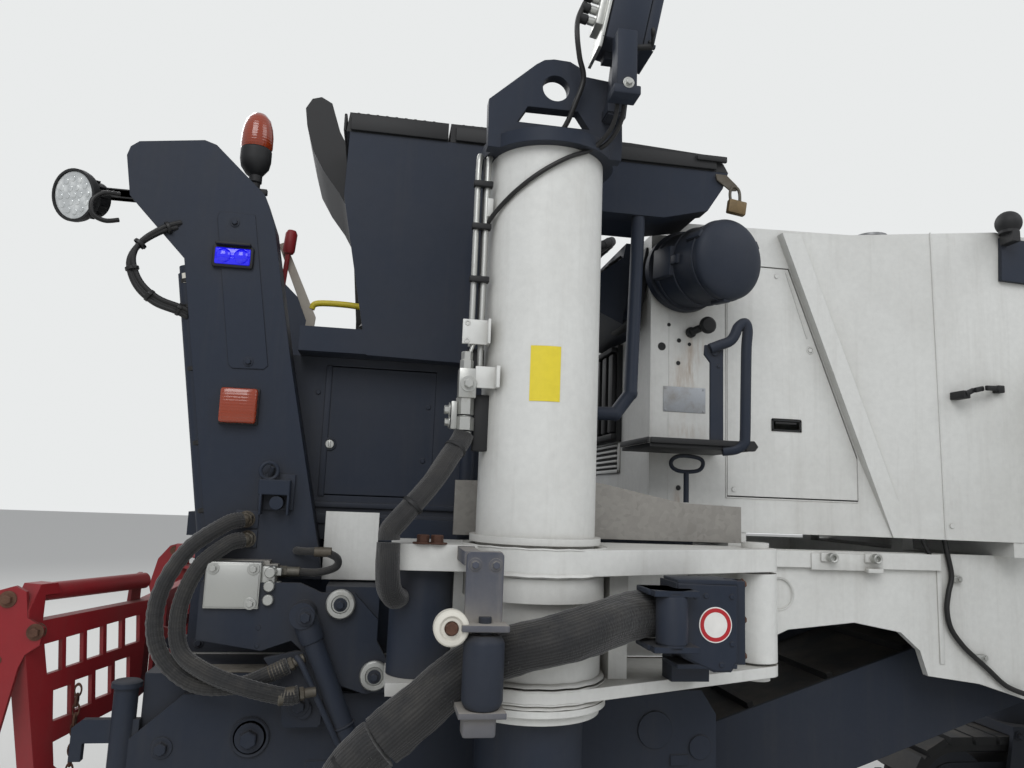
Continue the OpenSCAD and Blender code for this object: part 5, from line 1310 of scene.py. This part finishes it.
# Edge plates: flame-cut wear plates. Each has round bosses with hexagon heads, and a
# turned cap at both ends of the hinge tube at its rear.
EDGE_FACE = 727
for side, body in ((-1, "right_edge_plate"), (1, "left_edge_plate")):
    bm = bmesh.new()
    face = (0, side, 0)
    turned(bm, stand(-344, side * EDGE_FACE, 1012, face), [(0, 5), (38, 5), (44, 8), (44, 4)], 40)
    bolt(bm, stand(-344, side * (EDGE_FACE + 6), 1012, face), 36)
    for x, z, radius, size in ((662, 1018, 44, 36), (785, 974, 28, 24)):
        hoop(bm, stand(x, side * (EDGE_FACE + 0.6), z, face), radius, 3, 40)
        bolt(bm, stand(x, side * (EDGE_FACE - 0.4), z, face), size, False, 5)
    bolt(bm, stand(-540, side * EDGE_FACE, 990, face), 26)
    for end in (880, 1130):
        turned(bm, stand(-634, side * (EDGE_FACE - 18), end, UP),
               [(27, -8), (34, -7), (34, 4), (28, 8), (14, 9), (0, 9)], 32)
    publish(body + "_fittings", bm, slate, body)


# Rear guard: red welded plate. Rusty hexagon screws hold its hinge ears on both faces,
# and a rolled rim stands round each hole of its wings.
bm = bmesh.new()
WING_OUT, WING_IN = 752, 740
for side in (-1, 1):
    face = (0, side, 0)
    for x, z in ((-897, 1324), (-831, 1252)):
        bolt(bm, stand(x, side * WING_OUT, z, face), 20)
        bolt(bm, stand(x, side * WING_IN, z, (0, -side, 0)), 20)
    for x, z in ((-905, 1190), (-925, 1060)):
        hoop(bm, stand(x, side * WING_OUT, z, face), 8, 2.4, 16)
publish("guard_bolts", bm, rusted, "guard")


# Tie-down chain that hangs from a hole of the guard's wing: ten welded links of round
# steel, rusty all over, each turned a quarter against the one above it.
bm = bmesh.new()
for i in range(10):
    at = stand(-772, -612, 1092 - 23 * i) @ spun(90 * (i % 2), "Y")
    turned(bm, at @ Matrix.Diagonal((0.72, 1.25, 1, 1)), ring_outline(11, 3), 24)
publish("guard_chain", bm, rusted, "guard")


# Operator's seat: a foam cushion in black vinyl lies in the moulded shell. Its edges are
# rolled, its top is crowned, and two seams cross on it.
vinyl = moulded("seat_vinyl", "#1d1e20", 0.5, 1.6, 0.25, "#56524b", 0.4)


def pillow(bm, at, wide, long, deep, edge):
    """A closed cushion: a box cut into cells, its edges rolled and its top crowned, with
    two seams sunk in it."""
    before = set(bm.verts)
    made = bmesh.ops.create_cube(bm, size=1)["verts"]
    bmesh.ops.transform(bm, matrix=Matrix.Diagonal((wide, long, deep, 1)), verts=made)
    broken(bm, list({e for v in made for e in v.link_edges}), edge, 5)
    fresh = [v for v in bm.verts if v not in before]
    bmesh.ops.subdivide_edges(bm, edges=list({e for v in fresh for e in v.link_edges}), cuts=3,
                              use_grid_fill=True)
    fresh = [v for v in bm.verts if v not in before]
    for v in fresh:
        u, w = v.co.x / wide * 2, v.co.y / long * 2
        if v.co.z > 0:
            seams = 5 * math.exp(-(v.co.x / 10) ** 2), 5 * math.exp(-(w * 4) ** 2 * 3)
            v.co.z += 12 * (1 - u * u) * (1 - w * w) - seams[0] - seams[1]
    moved(bm, before, at)


bm = bmesh.new()
pillow(bm, stand(-8, -225, 1966, UP), 380, 380, 62, 34)
publish("seat_cushion", bm, vinyl, "machine", 60)


# Steering wheel and dashboard: black moulded grips round the rim with a knob for turning, round
# bezels of the gauges, rocker switches, a small screen's housing and two joysticks in ribbed boots.
bm = bmesh.new()
hub, RIM_R = leaning(563, -120, 2414, -38.14), 165
for turn in range(0, 360, 15):
    disc(bm, hub @ spun(turn) @ shift(RIM_R, 0, 0) @ spun(90, "X"), 15.2, (-3, 3), 14, 1)
turned(bm, hub, [(0, 26), (26, 24), (40, 14), (42, 6), (42, -6)], 28)
turned(bm, hub @ spun(200) @ shift(RIM_R, 0, 14), [(0, 46), (14, 42), (18, 30), (9, 12), (9, 0)], 20)
publish("wheel_grips", bm, black_moulding, "hand_wheel")

bm = bmesh.new()
face = Vector((-0.62, 0, 0.78))
for y in (-250, -180, -20, 50):
    turned(bm, stand(609, y, 2352, face), [(0, 3), (26, 3), (29, 7), (33, 7), (34, 0)], 28)
for row in range(2):
    for column in range(6):
        slab(bm, stand(650 + 22 * row, -300 + column * 40, 2387 + 18 * row, face), (-9, 9), (-13, 13),
             (-2, 7), 2)
slab(bm, stand(640, 76, 2380, face), (-60, 60), (-44, 44), (-2, 26), 6)
stick = [(0, 0), (44, 0), (38, 14), (42, 22), (32, 36), (35, 44), (20, 58), (12, 66), (12, 96), (20, 110),
         (24, 140), (22, 168), (14, 180), (0, 184)]
for x, y in ((60, -560), (-120, -585)):
    turned(bm, stand(x, y, 2026, UP), stick, 24)
publish("dashboard_controls", bm, black_moulding, "machine")


# Console's outer face: a moulded black cap with ribs along its top, a tan folded panel at
# its rear, a brass padlock on the lid's corner, and the red knob of a lever behind the post.
bm = bmesh.new()
RIB_PITCH = 26
for i in range(9):
    slab(bm, stand(-196 + RIB_PITCH * i, -560, 2631, UP), (-110, 116), (-4, 4), (0, 4), 1.5)
slab(bm, stand(-83, -682, 2598), (-132, 136), (-20, 26), (0, 7), 3)
slab(bm, stand(-226, -560, 2600, BACK), (-118, 118), (-22, 28), (0, 8), 3)
publish("console_cap_ribs", bm, black_moulding, "machine")
bm = bmesh.new()
for i in range(20):
    slab(bm, stand(96 + RIB_PITCH * i, -560, 2631, UP), (-110, 116), (-4, 4), (-2, 4), 1.5)
slab(bm, stand(470, -682, 2598), (-396, 380), (-18, 22), (0, 7), 3)
slab(bm, stand(846, -684, 2612), (-60, 34), (-10, 8), (0, 12), 3)
publish("console_lid_ribs", bm, black_moulding, "console_cover")

brass = bare_steel("brass", "#7d6a4c", "#55472f", 0.4, 0.45, 0.7)
bm = bmesh.new()
hung = stand(910, -690, 2467) @ spun(-8)
slab(bm, hung, (-28, 28), (-21, 21), (-11, 11), 5)
publish("console_padlock", bm, brass, "console_cover")
bm = bmesh.new()
wire(bm, [(892, -690, 2484), (890, -690, 2508), (894, -690, 2524), (903, -690, 2531), (914, -690, 2526),
          (920, -690, 2512), (921, -690, 2484)], 4.5, 10)
plate(bm, stand(0, -684, 0), [(846, 2566), (880, 2566), (914, 2536), (912, 2520), (892, 2518), (850, 2548)],
      (0, 5), 1)
publish("padlock_shackle", bm, aged_steel, "console_cover")

tan = enamel("tan_panel", "#b3aca0", "#7f786c", 0.4, 0.35)
bm = bmesh.new()
plate(bm, stand(0, -500, 0), [(-405, 2292), (-386, 2300), (-286, 2086), (-296, 1976), (-322, 1976),
                              (-312, 2074)], (0, 6), 1)
publish("tan_panel", bm, tan, "machine")
bm = bmesh.new()
disc(bm, stand(-377, -520, 2230, (0.08, 0, 1)), 7, (-240, 40), 14)
turned(bm, stand(-374, -520, 2262, (0.08, 0, 1)), [(0, 0), (13, 0), (17, 8), (17, 58), (12, 68), (0, 71)], 24)
publish("red_lever", bm, guard_red, "machine")
bm = bmesh.new()
rail_yellow = enamel("yellow_rail", "#d6c331", "#8d8453", 0.6, 0.2)
wire(bm, [(-300, -500, 2110), (-292, -500, 2125), (-262, -500, 2130), (-200, -500, 2130),
          (-158, -500, 2126)], 9, 12)
publish("yellow_rail", bm, rail_yellow, "machine")


# Track frames: welded box frames in dark enamel. Each drive hub is bolted to its gearbox
# by ten screws, and the side plates are screwed and pinned to the frame.
HUB_X, HUB_FACE, GEARBOX_FACE = 351, 122, 160
for x, y, body in ((3100, 850, "front_left_track"), (3100, -850, "front_right_track"), (290, 920, "machine"),
                   (290, -920, "rear_right_leg")):
    bm = bmesh.new()
    for face in (-1, 1):
        deep = y + face * GEARBOX_FACE
        for dx, z in ((-118, 214), (118, 214), (-136, 330), (136, 330), (-96, 560), (96, 560)):
            bolt(bm, stand(x + dx, deep, z, (0, face, 0)), 26)
        turned(bm, stand(x, deep, 295, (0, face, 0)), [(0, 8), (30, 8), (36, 4), (58, 4), (62, 0)], 28)
        hub = stand(x + HUB_X, y + face * HUB_FACE, 275, (0, face, 0))
        for turn in range(0, 360, 36):
            bolt(bm, hub @ spun(turn) @ shift(100, 0, 0), 19)
        turned(bm, hub, [(0, 7), (52, 7), (58, 3), (60, 0)], 32)
    publish(body + "_track_bolts", bm, slate, body)


# Discharge boom: a long trough of folded sheet in white enamel, with hexagon bolts along
# its side plates and at the roller stations.
boom_at = leaning(3560, 0, 1150, -17)


def on_boom(x, y, z, side):
    return boom_at @ shift(x, y, z) @ spun(-90 * side, "X")


bm = bmesh.new()
for side in (-1, 1):
    for x in range(720, 6700, 900):
        for z in (-70, 60, 160):
            bolt(bm, on_boom(x + 24, side * 355, z, side), 22)
    for x in range(480, 6600, 300):
        bolt(bm, on_boom(x, side * 330, 170, side), 16)
publish("boom_bolts", bm, white, "boom")


low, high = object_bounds()
